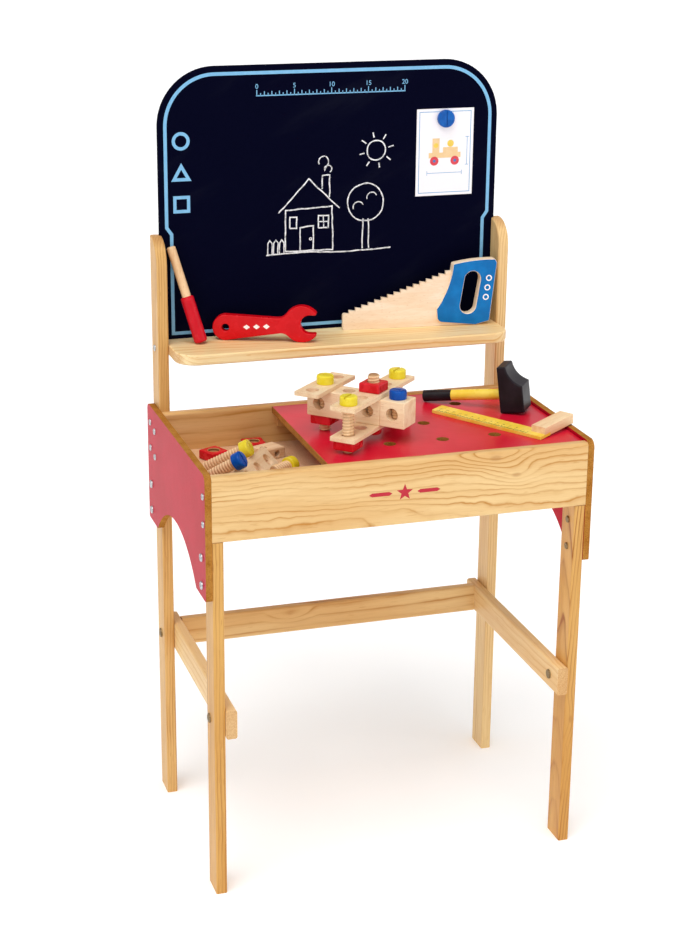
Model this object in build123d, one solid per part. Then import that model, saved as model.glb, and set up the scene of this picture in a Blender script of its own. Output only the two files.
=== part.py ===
from build123d import *
import math
import os

# Toy workbench with a chalkboard, hand tools and a wooden construction kit.
# Millimetres. +Z is up, the front faces -Y, and the origin is on the floor under the middle of the bench.

# Bench frame
bench_width = 500.0
bench_depth = 317.0
board_top = 556.5
board_height = 82.5
front_board_thickness = 15.0
rear_board_thickness = 14.0
board_edge_round = 4.0
leg_thickness = 14.0
leg_width = 38.0
leg_edge_round = 2.0
post_height = 782.5
post_top_round = 34.0
panel_thickness = 8.5
panel_height = 160.0
panel_rise = 2.5
panel_corner_round = 10.0
arch_tab = 51.0
arch_rise = 48.0
arch_corner_round = 4.0

# Worktop and tray
worktop_width = 335.0
worktop_thickness = 8.5
worktop_drop = 1.5
worktop_edge_round = 0.8
peg_hole_radius = 8.0
peg_hole_pitch = 70.0
peg_hole_rows = 3
cleat_depth = 9.0
cleat_height = 18.0
cleat_edge_round = 1.5
cleat_inset = 5.0
floor_top = 505.0
floor_thickness = 5.0
floor_groove_depth = 4.0

# Foot rails
rail_height = 38.0
rail_thickness = 14.0
rail_centre_height = 235.0
rail_overhang = 3.5
rail_edge_round = 3.0

# Shelf and chalkboard
shelf_top = 644.0
shelf_thickness = 14.0
shelf_depth = 95.0
shelf_corner_round = 28.0
shelf_edge_round = 2.5
chalkboard_height = 351.0
chalkboard_thickness = 4.0
chalkboard_setback = 7.5
chalkboard_inset = 3.0
chalkboard_corner_round = 75.0

# Fasteners
screw_radius = 1.75
screw_bite = 12.0
screw_head_radius = 4.2
screw_head_height = 2.0
bolt_radius = 2.5
bolt_head_radius = 5.2
bolt_head_height = 2.4
nut_barrel_radius = 3.8
nut_barrel_length = 9.0
nut_flange_height = 2.0
nut_flange_radius = 4.4
rail_bolt_radius = 3.0
rail_bolt_head_radius = 6.2
rail_bolt_offset = 24.5
barrel_nut_radius = 5.0
barrel_nut_length = 22.0
barrel_nut_inset = 26.0
rail_bolt_tip = 3.0
bolt_end_gap = 1.0
recess_width = 1.1
recess_depth = 1.0
dowel_radius = 3.0
dowel_bite = 9.0
dowel_depth = 18.0
dowel_offset = 7.5
cleat_screw_count = 4

# Rows of fasteners, measured down from the top of the board or panel, and up from the panel's lower edge
board_screw_drops = (25.0, 60.0)
post_screw_drops = (22.5, 57.5)
panel_bolt_rises = (15.5, 51.5)

# Fits
fastener_fit = 0.1
wood_fit = 0.25
groove_fit = 0.25
rest_gap = 0.3
cut_over = 1.0

# Card and magnet on the chalkboard
card_width = 80.0
card_height = 115.0
card_thickness = 0.5
card_side_margin = 33.0
card_top_margin = 64.0
magnet_radius = 11.6
magnet_thickness = 6.0
magnet_drop = 13.0
magnet_edge_round = 2.0
magnet_slot_width = 1.8
magnet_slot_depth = 1.2

# Screwdriver, leaning in the corner of post and chalkboard
driver_handle_radius = 8.65
driver_handle_length = 62.0
driver_handle_round = 3.0
driver_shaft_radius = 5.8
driver_shaft_length = 67.0
driver_shaft_socket = 25.0
driver_tip_chamfer = 1.5
driver_foot_from_post = 42.7
driver_tip_from_post = 10.3
driver_foot_from_board = 31.5

# Wrench, standing on its edge on the shelf
wrench_thickness = 12.0
wrench_ring_radius = 17.0
wrench_eye_radius = 5.0
wrench_head_radius = 24.2
wrench_span = 100.0
wrench_neck_width = 14.0
wrench_neck_drop = 1.5
wrench_neck_round = 14.0
wrench_jaw = 24.5
wrench_tip_round = 2.0
wrench_mouth_depth = 25.8
wrench_edge_round = 1.2
wrench_from_post = 76.5
wrench_from_board = 25.5
wrench_yaw = -22.7

# Saw, standing teeth up on the shelf in front of the right post
saw_blade_thickness = 6.0
saw_cheek_thickness = 4.0
saw_toe_height = 22.8
saw_heel_height = 74.3
saw_heel = 140.7
saw_tooth_count = 16
saw_tooth_depth = 3.2
saw_toe_round = 3.0
saw_handle_left = 149.8
saw_handle_right = 210.4
saw_handle_height = 89.6
saw_handle_crown = 2.0
saw_handle_foot = 202.0
saw_cheek_low = (127.9, 24.0)
saw_cheek_corner = (129.5, 6.0)
saw_cheek_corner_round = 8.0
saw_cheek_round = 2.5
saw_cheek_waist = (144.3, 57.0)
saw_cheek_base = 182.3
saw_grip_radius = 11.0
saw_grip_low = (171.5, 27.0)
saw_grip_high = (177.0, 63.0)
saw_corner_round = 5.0
saw_edge_round = 1.0
saw_toe_from_board = 20.5
saw_toe_from_post = 215.3
saw_yaw = -5.5

# Hammer, lying on the worktop on its head's lower edge and its grip
hammer_head_length = 62.0
hammer_head_width = 32.5
hammer_head_depth = 38.0
hammer_nose_width = 12.0
hammer_face_height = 36.0
hammer_cut_depth = 5.0
hammer_edge_round = 2.0
hammer_handle_radius = 7.2
hammer_handle_reach = 108.5
hammer_handle_height = 21.4
hammer_handle_socket = 20.0
hammer_grip_radius = 7.5
hammer_grip_length = 39.0
hammer_grip_core = 5.5
hammer_yaw = -37.0
hammer_from_panel = 45.8
hammer_from_rear_board = 99.5

# Set square, its blade on the worktop and the end of its stock on the right panel
square_blade_length = 173.0
square_blade_width = 22.0
square_blade_thickness = 4.0
square_stock_length = 62.0
square_stock_width = 21.0
square_stock_thickness = 13.0
square_lap = 12.0
square_edge_round = 1.0
square_yaw = 121.8
square_from_panel = 51.0
square_from_front_board = 16.5

# Construction kit
kit_module = 34.0
kit_hole_radius = 8.25
kit_strip_thickness = 5.0
kit_edge_round = 1.5
kit_bolt_radius = 7.5
kit_thread_pitch = 4.0
kit_thread_depth = 0.9
kit_bolt_length = 61.0
kit_middle_bolt_length = 65.5
kit_short_bolt_length = 28.0
kit_head_radius = 11.0
kit_head_height = 11.5
kit_head_round = 2.5
kit_slot_width = 2.6
kit_slot_depth = 2.5
kit_nut_width = 28.0
kit_nut_height = 12.0
kit_nut_round = 2.0
kit_nut_fit = 0.3
kit_tip = 5.0
kit_block_width = 28.0
kit_block_height = 14.0
kit_block_hole_radius = 4.5
kit_block_hole_offset = 8.0
kit_dowel_radius = 4.0
kit_dowel_bite = 8.0

# Aeroplane: the middle of its wings, and the heading of its nose
plane_from_worktop_left = 85.5
plane_from_front_board = 86.0
plane_heading = -45.0
plane_wing_holes = 5
plane_body_holes = 3

# Loose kit pieces in the tray: distances from the left panel and from the rear board, and headings
loose_nut_left_place = (57.0, 46.0)
loose_nut_left_heading = 25.0
loose_nut_rear_place = (116.5, 23.0)
loose_nut_rear_heading = 0.0
loose_block_place = (127.0, 57.5)
loose_block_heading = 22.0
loose_yellow_bolt_head = (136.5, 129.0)
loose_yellow_bolt_heading = 214.0

# Loose strip, tilted on its lower edge, and two bolts that lean on its raised edge, one with its head
# and one with its shank: their distances from the strip's rear end, and their turn from its heading
loose_strip_end = (110.6, 93.4)
loose_strip_heading = 54.7
loose_strip_tilt = 46.0
loose_strip_holes = 4
loose_left_bolt_along = 47.0
loose_left_bolt_turn = 95.0
loose_blue_bolt_along = 103.0
loose_blue_bolt_turn = 90.0
loose_blue_bolt_hook = 6.0

# Places that follow from the driving dimensions
front = -bench_depth / 2
rear = bench_depth / 2
panel_outer = bench_width / 2
panel_inner = panel_outer - panel_thickness
post_inner = panel_inner - leg_thickness
rail_inner = post_inner - rail_thickness
panel_top = board_top + panel_rise
panel_bottom = panel_top - panel_height
board_bottom = board_top - board_height
front_board_rear = front + front_board_thickness
post_front = rear - leg_width
post_middle = rear - leg_width / 2
rear_board_front = post_front - rear_board_thickness
leg_middle = front + leg_width / 2
worktop_top = board_top - worktop_drop
worktop_bottom = worktop_top - worktop_thickness
worktop_left = panel_inner - worktop_width
cleat_left = worktop_left + cleat_inset
rail_bottom = rail_centre_height - rail_height / 2
rail_top = rail_centre_height + rail_height / 2
shelf_bottom = shelf_top - shelf_thickness
shelf_middle = shelf_top - shelf_thickness / 2
shelf_front = rear - shelf_depth
chalkboard_face = rear - chalkboard_setback
chalkboard_half_width = post_inner + chalkboard_inset
chalkboard_top = shelf_top + chalkboard_height
rail_bolt_y = (front + rail_bolt_offset, post_middle)
kit_nut_radius = kit_bolt_radius + kit_nut_fit


def slab(x, y, z):
    """Box between the lowest and highest value along each axis."""
    spans = (x, y, z)
    centre = [(low + high) / 2 for low, high in spans]
    size = [high - low for low, high in spans]
    return Pos(*centre) * Box(*size)


def rod_x(x, y, z, radius):
    """Round bar along X between two values of x."""
    return Pos((x[0] + x[1]) / 2, y, z) * Rot(0, 90, 0) * Cylinder(radius, x[1] - x[0])


def long_edges(shape, axis, radius):
    """The shape with its edges along one axis rounded."""
    return fillet(shape.edges().filter_by(axis), radius)


def both_sides(shape):
    """The right-hand shape and its mirror image on the left, as a list."""
    return [mirror(shape, Plane.YZ), shape]


def recess(radius):
    """Cross recess of a screw head, cut along -X from x = 0."""
    arm = Pos(-recess_depth / 2, 0, 0) * Box(recess_depth, 1.3 * radius, recess_width)
    return arm + Rot(90, 0, 0) * arm


def headed(head_radius, head_height, shank_radius, shank_length):
    """Screw or bolt along X: its head stands out of the face at x = 0 and its shank runs to -X."""
    head = rod_x((0, head_height), 0, 0, head_radius)
    head = fillet(head.edges().filter_by(GeomType.CIRCLE).sort_by(Axis.X)[-1], 0.7 * head_height)
    head -= Pos(head_height, 0, 0) * recess(head_radius)
    return head + rod_x((-shank_length, 0), 0, 0, shank_radius)


def cap_nut(radius, flange_radius):
    """Flanged sleeve nut along X: its flange stands out to -X from x = 0 and its barrel runs to +X."""
    flange = rod_x((-nut_flange_height, 0), 0, 0, flange_radius)
    flange = fillet(flange.edges().filter_by(GeomType.CIRCLE).sort_by(Axis.X)[0], nut_flange_height / 2)
    nut = flange + rod_x((0, nut_barrel_length), 0, 0, nut_barrel_radius)
    return nut - rod_x((-nut_flange_height / 4, nut_barrel_length), 0, 0, radius + fastener_fit)


# Fastener places on the right-hand side, as y and z pairs
board_screw_places = [(y, board_top - drop)
                      for y in (front + front_board_thickness / 2, post_front - rear_board_thickness / 2)
                      for drop in board_screw_drops]
post_screw_places = [(post_middle, panel_top - drop) for drop in post_screw_drops]
panel_bolt_places = [(y, panel_bottom + rise) for y in (leg_middle, post_middle) for rise in panel_bolt_rises]
shelf_screw_place = (post_middle, shelf_middle)
dowel_place = (post_front + dowel_offset, shelf_middle)
cleat_screw_pitch = (panel_inner - cleat_left) / cleat_screw_count
cleat_screw_x = [cleat_left + (i + 0.5) * cleat_screw_pitch for i in range(cleat_screw_count)]


def screw_length(clamped):
    return clamped + screw_bite


def screw_holes():
    """Everything the side fasteners on the right pass through, as one cutter."""
    holes = []
    for y, z in board_screw_places + post_screw_places:
        reach = (panel_outer - screw_length(panel_thickness) - fastener_fit, panel_outer)
        holes.append(rod_x(reach, y, z, screw_radius + fastener_fit))
    for y, z in panel_bolt_places:
        holes.append(rod_x((post_inner, panel_outer), y, z, bolt_radius + fastener_fit))
        barrel = (post_inner, post_inner + nut_barrel_length + fastener_fit)
        holes.append(rod_x(barrel, y, z, nut_barrel_radius + fastener_fit))
    y, z = shelf_screw_place
    reach = (panel_inner - screw_length(leg_thickness) - fastener_fit, panel_inner)
    holes.append(rod_x(reach, y, z, screw_radius + fastener_fit))
    y, z = dowel_place
    reach = (post_inner - dowel_depth - fastener_fit, post_inner + dowel_bite + fastener_fit)
    holes.append(rod_x(reach, y, z, dowel_radius + fastener_fit))
    front_y, rear_y = rail_bolt_y
    through = (rail_inner, panel_inner)
    holes.append(rod_x(through, front_y, rail_centre_height, rail_bolt_radius + fastener_fit))
    barrel = (rail_inner, rail_inner + nut_barrel_length + fastener_fit)
    holes.append(rod_x(barrel, front_y, rail_centre_height, nut_barrel_radius + fastener_fit))
    deep = (rail_inner - barrel_nut_inset - barrel_nut_radius, panel_inner)
    holes.append(rod_x(deep, rear_y, rail_centre_height, rail_bolt_radius + fastener_fit))
    return Compound(holes)


holes_right = screw_holes()
holes_left = mirror(holes_right, Plane.YZ)


def drilled(shape, cutters):
    """The shape with every cutter of a group taken away."""
    for cutter in cutters.solids():
        shape = shape - cutter
    return shape


def drilled_both(shape):
    return drilled(drilled(shape, holes_right), holes_left)


def side_panel():
    panel = slab((panel_inner, panel_outer), (front, rear), (panel_bottom, panel_top))
    half_chord = bench_depth / 2 - arch_tab
    arch_radius = (half_chord**2 + arch_rise**2) / (2 * arch_rise)
    arch_z = panel_bottom + arch_rise - arch_radius
    panel -= rod_x((panel_inner - cut_over, panel_outer + cut_over), 0, arch_z, arch_radius)
    across = panel.edges().filter_by(Axis.X).group_by(Axis.Z)
    panel = fillet(across[-1], panel_corner_round)
    across = panel.edges().filter_by(Axis.X).group_by(Axis.Z)
    panel = fillet(across[0], arch_corner_round)
    return drilled(panel, holes_right)


def front_leg():
    leg = slab((post_inner, panel_inner), (front, front + leg_width), (0, board_bottom))
    return drilled(long_edges(leg, Axis.Z, leg_edge_round), holes_right)


def rear_post():
    post = slab((post_inner, panel_inner), (post_front, rear), (0, post_height))
    top_front = post.edges().filter_by(Axis.X).group_by(Axis.Z)[-1].sort_by(Axis.Y)[0]
    post = fillet(top_front, post_top_round)
    post = long_edges(post, Axis.Z, leg_edge_round)
    groove_y = (chalkboard_face - groove_fit, chalkboard_face + chalkboard_thickness + groove_fit)
    groove_x = (post_inner - cut_over, chalkboard_half_width + groove_fit)
    post -= slab(groove_x, groove_y, (shelf_top, post_height + cut_over))
    return drilled(post, holes_right)


def board(y, groove_y):
    """Board across the bench, with rounded top edges and a groove for the tray floor."""
    plank = slab((-panel_inner, panel_inner), y, (board_bottom, board_top))
    along = plank.edges().filter_by(Axis.X).group_by(Axis.Z)
    plank = fillet(along[-1], board_edge_round)
    along = plank.edges().filter_by(Axis.X).group_by(Axis.Z)
    plank = fillet(along[0], leg_edge_round)
    groove_z = (floor_top - floor_thickness - groove_fit, floor_top + groove_fit)
    plank -= slab((-panel_inner, panel_inner), groove_y, groove_z)
    return drilled_both(plank)


def cleat_pilot(x, y, length, towards):
    """Pilot hole of a cleat screw, running from the cleat's face into the board."""
    pilot = Rot(90, 0, 0) * Cylinder(screw_radius + fastener_fit, length)
    return Pos(x, y + towards * length / 2, cleat_z) * pilot


cleat_z = worktop_bottom - cleat_height / 2
cleat_screw_length = cleat_depth + 0.6 * min(front_board_thickness, rear_board_thickness)
front_cleat_face = front_board_rear + cleat_depth
rear_cleat_face = rear_board_front - cleat_depth


def cleat_pilots(face, towards):
    return Compound([cleat_pilot(x, face, cleat_screw_length + fastener_fit, towards) for x in cleat_screw_x])


def front_board():
    plank = board((front, front_board_rear), (front_board_rear - floor_groove_depth, front_board_rear))
    return drilled(plank, cleat_pilots(front_cleat_face, -1))


def rear_board():
    plank = board((rear_board_front, post_front), (rear_board_front, rear_board_front + floor_groove_depth))
    return drilled(plank, cleat_pilots(rear_cleat_face, 1))


def cleat(y, face, towards):
    strip = slab((cleat_left, panel_inner), y, (worktop_bottom - cleat_height, worktop_bottom))
    lower = strip.edges().filter_by(Axis.X).group_by(Axis.Z)[0]
    strip = fillet(lower, cleat_edge_round)
    return drilled(strip, cleat_pilots(face, towards))


def cleat_screws():
    """Screws with their heads on the faces of both cleats."""
    screw = headed(screw_head_radius, screw_head_height, screw_radius, cleat_screw_length)
    turned = [Pos(x, front_cleat_face, cleat_z) * Rot(0, 0, 90) * screw for x in cleat_screw_x]
    turned += [Pos(x, rear_cleat_face, cleat_z) * Rot(0, 0, -90) * screw for x in cleat_screw_x]
    return Compound(turned)


def worktop():
    y = (front_board_rear + wood_fit, rear_board_front - wood_fit)
    top = slab((worktop_left, panel_inner - wood_fit), y, (worktop_bottom, worktop_top))
    top = fillet(top.edges().group_by(Axis.Z)[-1], worktop_edge_round)
    centre = Pos((worktop_left + panel_inner) / 2, (y[0] + y[1]) / 2, worktop_top)
    grid = GridLocations(peg_hole_pitch, peg_hole_pitch, peg_hole_rows, peg_hole_rows)
    peg_hole = Cylinder(peg_hole_radius, 3 * worktop_thickness)
    for place in grid:
        top -= centre * place * peg_hole
    return top


def tray_floor():
    y = (front_board_rear - floor_groove_depth + wood_fit, rear_board_front + floor_groove_depth - wood_fit)
    return slab((-panel_inner + wood_fit, panel_inner - wood_fit), y, (floor_top - floor_thickness, floor_top))


def side_rail():
    rail_y = (front - rail_overhang, rear + rail_overhang)
    rail = slab((rail_inner, post_inner), rail_y, (rail_bottom, rail_top))
    return drilled(long_edges(rail, Axis.Y, rail_edge_round), holes_right)


def barrel_nut():
    """Upright barrel nut in the right end of the cross rail, under the rail bolt's tip."""
    x = rail_inner - barrel_nut_inset
    nut = Pos(x, post_middle, rail_centre_height) * Cylinder(barrel_nut_radius, barrel_nut_length)
    return nut - rod_x((x - barrel_nut_radius, x + barrel_nut_radius), post_middle, rail_centre_height,
                       rail_bolt_radius + fastener_fit)


def cross_rail():
    y = (post_middle - rail_thickness / 2, post_middle + rail_thickness / 2)
    rail = slab((-rail_inner, rail_inner), y, (rail_bottom, rail_top))
    rail = long_edges(rail, Axis.X, rail_edge_round)
    pocket_top = rail_centre_height + barrel_nut_length / 2 + fastener_fit
    pocket = Cylinder(barrel_nut_radius + fastener_fit, pocket_top - rail_bottom,
                      align=(Align.CENTER, Align.CENTER, Align.MIN))
    for side in (-1, 1):
        rail -= Pos(side * (rail_inner - barrel_nut_inset), post_middle, rail_bottom) * pocket
    return drilled_both(rail)


def tool_shelf():
    shelf = slab((-post_inner, post_inner), (shelf_front, rear), (shelf_bottom, shelf_top))
    front_corners = shelf.edges().filter_by(Axis.Z).group_by(Axis.Y)[0]
    shelf = fillet(front_corners, shelf_corner_round)
    levels = shelf.edges().group_by(Axis.Z)
    outer = [edge for edge in levels[-1] + levels[0] if edge.center().Y < post_front]
    shelf = fillet(outer, shelf_edge_round)
    return drilled_both(shelf)


def chalkboard():
    y = (chalkboard_face, chalkboard_face + chalkboard_thickness)
    panel = slab((-chalkboard_half_width, chalkboard_half_width), y, (shelf_top, chalkboard_top))
    top_corners = panel.edges().filter_by(Axis.Y).group_by(Axis.Z)[-1]
    return fillet(top_corners, chalkboard_corner_round)


def panel_screws():
    screw = headed(screw_head_radius, screw_head_height, screw_radius, screw_length(panel_thickness))
    return [Pos(panel_outer, y, z) * screw for y, z in board_screw_places + post_screw_places]


def panel_bolts():
    reach = panel_thickness + leg_thickness - bolt_end_gap
    bolt = headed(bolt_head_radius, bolt_head_height, bolt_radius, reach)
    return [Pos(panel_outer, y, z) * bolt for y, z in panel_bolt_places]


def panel_nuts():
    nut = cap_nut(bolt_radius, nut_flange_radius)
    return [Pos(post_inner, y, z) * nut for y, z in panel_bolt_places]


def rail_bolts():
    """Bolts through leg and rail on the right, into a cap nut at the front and a barrel nut at the rear."""
    front_y, rear_y = rail_bolt_y
    clamped = leg_thickness + rail_thickness
    short = headed(rail_bolt_head_radius, bolt_head_height, rail_bolt_radius, clamped - bolt_end_gap)
    reach = clamped + barrel_nut_inset + rail_bolt_tip
    long = headed(rail_bolt_head_radius, bolt_head_height, rail_bolt_radius, reach)
    return [Pos(panel_inner, front_y, rail_centre_height) * short,
            Pos(panel_inner, rear_y, rail_centre_height) * long]


def rail_nut():
    nut = cap_nut(rail_bolt_radius, rail_bolt_head_radius)
    return Pos(rail_inner, rail_bolt_y[0], rail_centre_height) * nut


def shelf_screw():
    screw = headed(screw_head_radius, screw_head_height, screw_radius, screw_length(leg_thickness))
    return Pos(panel_inner, *shelf_screw_place) * screw


def shelf_dowel():
    return rod_x((post_inner - dowel_depth, post_inner + dowel_bite), *dowel_place, dowel_radius)


def mirrored_group(solids):
    """One node holding the right-hand fasteners and their mirror images."""
    return Compound([copy for solid in solids for copy in both_sides(solid)])


# Things on the chalkboard
card_right = chalkboard_half_width - card_side_margin
card_top = chalkboard_top - card_top_margin
card_face = chalkboard_face - card_thickness


def plan_card():
    card_x = (card_right - card_width, card_right)
    return slab(card_x, (card_face, chalkboard_face), (card_top - card_height, card_top))


def magnet():
    disc = Cylinder(magnet_radius, magnet_thickness, align=(Align.CENTER, Align.CENTER, Align.MIN))
    disc = fillet(disc.edges().sort_by(Axis.Z)[-1], magnet_edge_round)
    disc -= Pos(0, 0, magnet_thickness) * Box(magnet_slot_width, 3 * magnet_radius, 2 * magnet_slot_depth)
    return Pos(card_right - card_width / 2, card_face, card_top - magnet_drop) * Rot(90, 0, 0) * disc


# Tools on the shelf
def screwdriver():
    """Handle and shaft along Z from the handle's end, moved to lean on the chalkboard."""
    upright = (Align.CENTER, Align.CENTER, Align.MIN)
    handle = Cylinder(driver_handle_radius, driver_handle_length, align=upright)
    handle = fillet(handle.edges().filter_by(GeomType.CIRCLE), driver_handle_round)
    socket = driver_handle_length - driver_shaft_socket
    handle -= Pos(0, 0, socket) * Cylinder(driver_shaft_radius, driver_handle_length, align=upright)
    shaft = Cylinder(driver_shaft_radius, driver_shaft_socket + driver_shaft_length, align=upright)
    shaft = Pos(0, 0, socket) * shaft
    shaft = chamfer(shaft.edges().filter_by(GeomType.CIRCLE).sort_by(Axis.Z)[-1], driver_tip_chamfer)
    tip_y = chalkboard_face - rest_gap - driver_shaft_radius
    sideways = driver_tip_from_post - driver_foot_from_post
    backwards = tip_y - (chalkboard_face - driver_foot_from_board)
    length = driver_handle_length + driver_shaft_length
    lean = math.asin(math.hypot(sideways, backwards) / length)
    rim = driver_handle_radius - driver_handle_round
    foot_z = shelf_top + rest_gap + rim * math.sin(lean) - driver_handle_round * (1 - math.cos(lean))
    foot = (-post_inner + driver_foot_from_post, chalkboard_face - driver_foot_from_board, foot_z)
    place = Plane(origin=foot, z_dir=(sideways, backwards, length * math.cos(lean))).location
    return place * handle, place * shaft


def standing_plane(x, y, yaw):
    """Upright plane on the shelf: its x runs along the tool, its y is height, and +z faces the front."""
    turn = math.radians(yaw)
    return Plane(origin=(x, y, shelf_top + rest_gap), x_dir=(math.cos(turn), math.sin(turn), 0),
                 z_dir=(math.sin(turn), -math.cos(turn), 0)).location


def wrench():
    ring_centre = (0, wrench_ring_radius)
    head_centre = (wrench_span, wrench_head_radius)
    neck_middle = wrench_head_radius - wrench_neck_drop
    half_neck = wrench_neck_width / 2
    neck = [(wrench_span, neck_middle - half_neck), (wrench_span, neck_middle + half_neck)]
    bar = make_face(Polyline((0, 0), *neck, (0, 2 * wrench_ring_radius), close=True))
    outline = Pos(*head_centre) * Circle(wrench_head_radius) + bar
    shoulders = [corner for corner in outline.vertices() if 0 < corner.X < wrench_span]
    outline = fillet(shoulders, wrench_neck_round)
    outline += Pos(*ring_centre) * Circle(wrench_ring_radius)
    mouth_x = wrench_span + wrench_head_radius - wrench_mouth_depth + wrench_jaw / 2
    outline -= Pos(mouth_x, wrench_head_radius) * Circle(wrench_jaw / 2)
    mouth = Rectangle(2 * wrench_head_radius, wrench_jaw)
    outline -= Pos(mouth_x + wrench_head_radius, wrench_head_radius) * mouth
    outline = fillet(outline.vertices().group_by(Axis.X)[-1], wrench_tip_round)
    outline -= Pos(*ring_centre) * Circle(wrench_eye_radius)
    body = extrude(outline, -wrench_thickness)
    faces = body.faces().filter_by(Axis.Z)
    body = fillet(faces.edges(), wrench_edge_round)
    return standing_plane(wrench_from_post - post_inner, chalkboard_face - wrench_from_board, wrench_yaw) * body


def cheek_outline():
    """Handle of the saw, with the waist in front of the hand and the finger hole."""
    high = (saw_handle_left, saw_handle_height - saw_corner_round)
    edge = [ThreePointArc(saw_cheek_low, saw_cheek_waist, high)]
    crown_height = saw_handle_height - saw_corner_round / 2 + saw_handle_crown
    crown = ((saw_handle_left + saw_handle_right) / 2, crown_height)
    edge.append(ThreePointArc(high, crown, (saw_handle_right - saw_corner_round / 2, saw_handle_height)))
    edge.append(Line((saw_handle_right - saw_corner_round / 2, saw_handle_height),
                     (saw_handle_right, saw_handle_height - saw_corner_round)))
    edge.append(Line((saw_handle_right, saw_handle_height - saw_corner_round),
                     (saw_handle_foot, saw_corner_round)))
    edge.append(Line((saw_handle_foot, saw_corner_round), (saw_cheek_base, 0)))
    edge.append(Line((saw_cheek_base, 0), saw_cheek_corner))
    edge.append(Line(saw_cheek_corner, saw_cheek_low))
    cheek = make_face(edge)
    heel = cheek.vertices().sort_by_distance((*saw_cheek_corner, 0))[0]
    others = [corner for corner in cheek.vertices() if corner != heel]
    cheek = fillet(others, saw_cheek_round)
    heel = cheek.vertices().sort_by_distance((*saw_cheek_corner, 0))[0]
    cheek = fillet(heel, saw_cheek_corner_round)
    grip = Pos(*saw_grip_low) * Circle(saw_grip_radius) + Pos(*saw_grip_high) * Circle(saw_grip_radius)
    across = math.atan2(saw_grip_high[1] - saw_grip_low[1], saw_grip_high[0] - saw_grip_low[0])
    span = math.hypot(saw_grip_high[0] - saw_grip_low[0], saw_grip_high[1] - saw_grip_low[1])
    middle = Pos((saw_grip_low[0] + saw_grip_high[0]) / 2, (saw_grip_low[1] + saw_grip_high[1]) / 2)
    grip += middle * Rot(0, 0, math.degrees(across)) * Rectangle(span, 2 * saw_grip_radius)
    return cheek - grip, grip


def saw():
    """Blade with its teeth and tang, and a cheek on each side of the tang."""
    teeth = []
    for i in range(saw_tooth_count):
        share = i / saw_tooth_count
        along = share * saw_heel
        height = saw_toe_height + share * (saw_heel_height - saw_toe_height)
        teeth.append((along, height))
        teeth.append((along + saw_heel / saw_tooth_count, height - saw_tooth_depth / 2))
    outline = [(0, 0)] + teeth + [(saw_heel, saw_heel_height), (saw_handle_left, saw_heel_height),
                                  (saw_grip_low[0] + saw_grip_radius, 0)]
    cheek, grip = cheek_outline()
    blade = make_face(Polyline(*outline, close=True))
    blade = fillet(blade.vertices().group_by(Axis.X)[0], saw_toe_round)
    blade = blade - grip + cheek
    stack = saw_blade_thickness + 2 * saw_cheek_thickness
    blade = Pos(0, 0, -saw_cheek_thickness) * extrude(blade, -saw_blade_thickness)
    front_cheek = extrude(cheek, -saw_cheek_thickness)
    front_cheek = fillet(front_cheek.faces().sort_by(Axis.Z)[-1].edges(), saw_edge_round)
    rear_cheek = Pos(0, 0, saw_cheek_thickness - stack) * extrude(cheek, -saw_cheek_thickness)
    rear_cheek = fillet(rear_cheek.faces().sort_by(Axis.Z)[0].edges(), saw_edge_round)
    place = standing_plane(post_inner - saw_toe_from_post, chalkboard_face - saw_toe_from_board, saw_yaw)
    return place * blade, place * front_cheek, place * rear_cheek


# Tools on the worktop
def hammer():
    """Built with the head's lower left edge on Y and the handle to -X, then tipped down on its grip."""
    chord = (hammer_nose_width - hammer_head_width, hammer_head_length - hammer_face_height)
    middle = (hammer_head_width + chord[0] / 2, hammer_face_height + chord[1] / 2)
    shift = hammer_cut_depth / math.hypot(*chord)
    waist = (middle[0] - shift * chord[1], middle[1] + shift * chord[0])
    foot = (hammer_head_width, 0)
    face_top = (hammer_head_width, hammer_face_height)
    nose = (hammer_nose_width, hammer_head_length)
    top = (0, hammer_head_length)
    outline = [Line((0, 0), foot), Line(foot, face_top), ThreePointArc(face_top, waist, nose), Line(nose, top),
               Line(top, (0, 0))]
    head = Plane.XZ * extrude(make_face(outline), hammer_head_depth / 2, both=True)
    head = fillet(head.edges(), hammer_edge_round)
    socket = (0, hammer_handle_socket)
    head -= rod_x(socket, 0, hammer_handle_height, hammer_handle_radius)
    grip_inner = hammer_grip_length - hammer_handle_reach
    handle = rod_x((grip_inner, hammer_handle_socket), 0, hammer_handle_height, hammer_handle_radius)
    core_span = (hammer_grip_core - hammer_handle_reach, grip_inner)
    core = rod_x(core_span, 0, hammer_handle_height, hammer_grip_core)
    handle += core
    grip = rod_x((-hammer_handle_reach, grip_inner), 0, hammer_handle_height, hammer_grip_radius)
    grip = fillet(grip.edges().filter_by(GeomType.CIRCLE), 1)
    grip -= core
    tip = math.degrees(math.atan2(hammer_handle_height - hammer_grip_radius, hammer_handle_reach))
    on_top = worktop_top + rest_gap
    place = Pos(panel_inner - hammer_from_panel, rear_board_front - hammer_from_rear_board, on_top)
    place *= Rot(0, 0, hammer_yaw) * Rot(0, -tip, 0)
    return place * head, place * handle, place * grip


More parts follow.
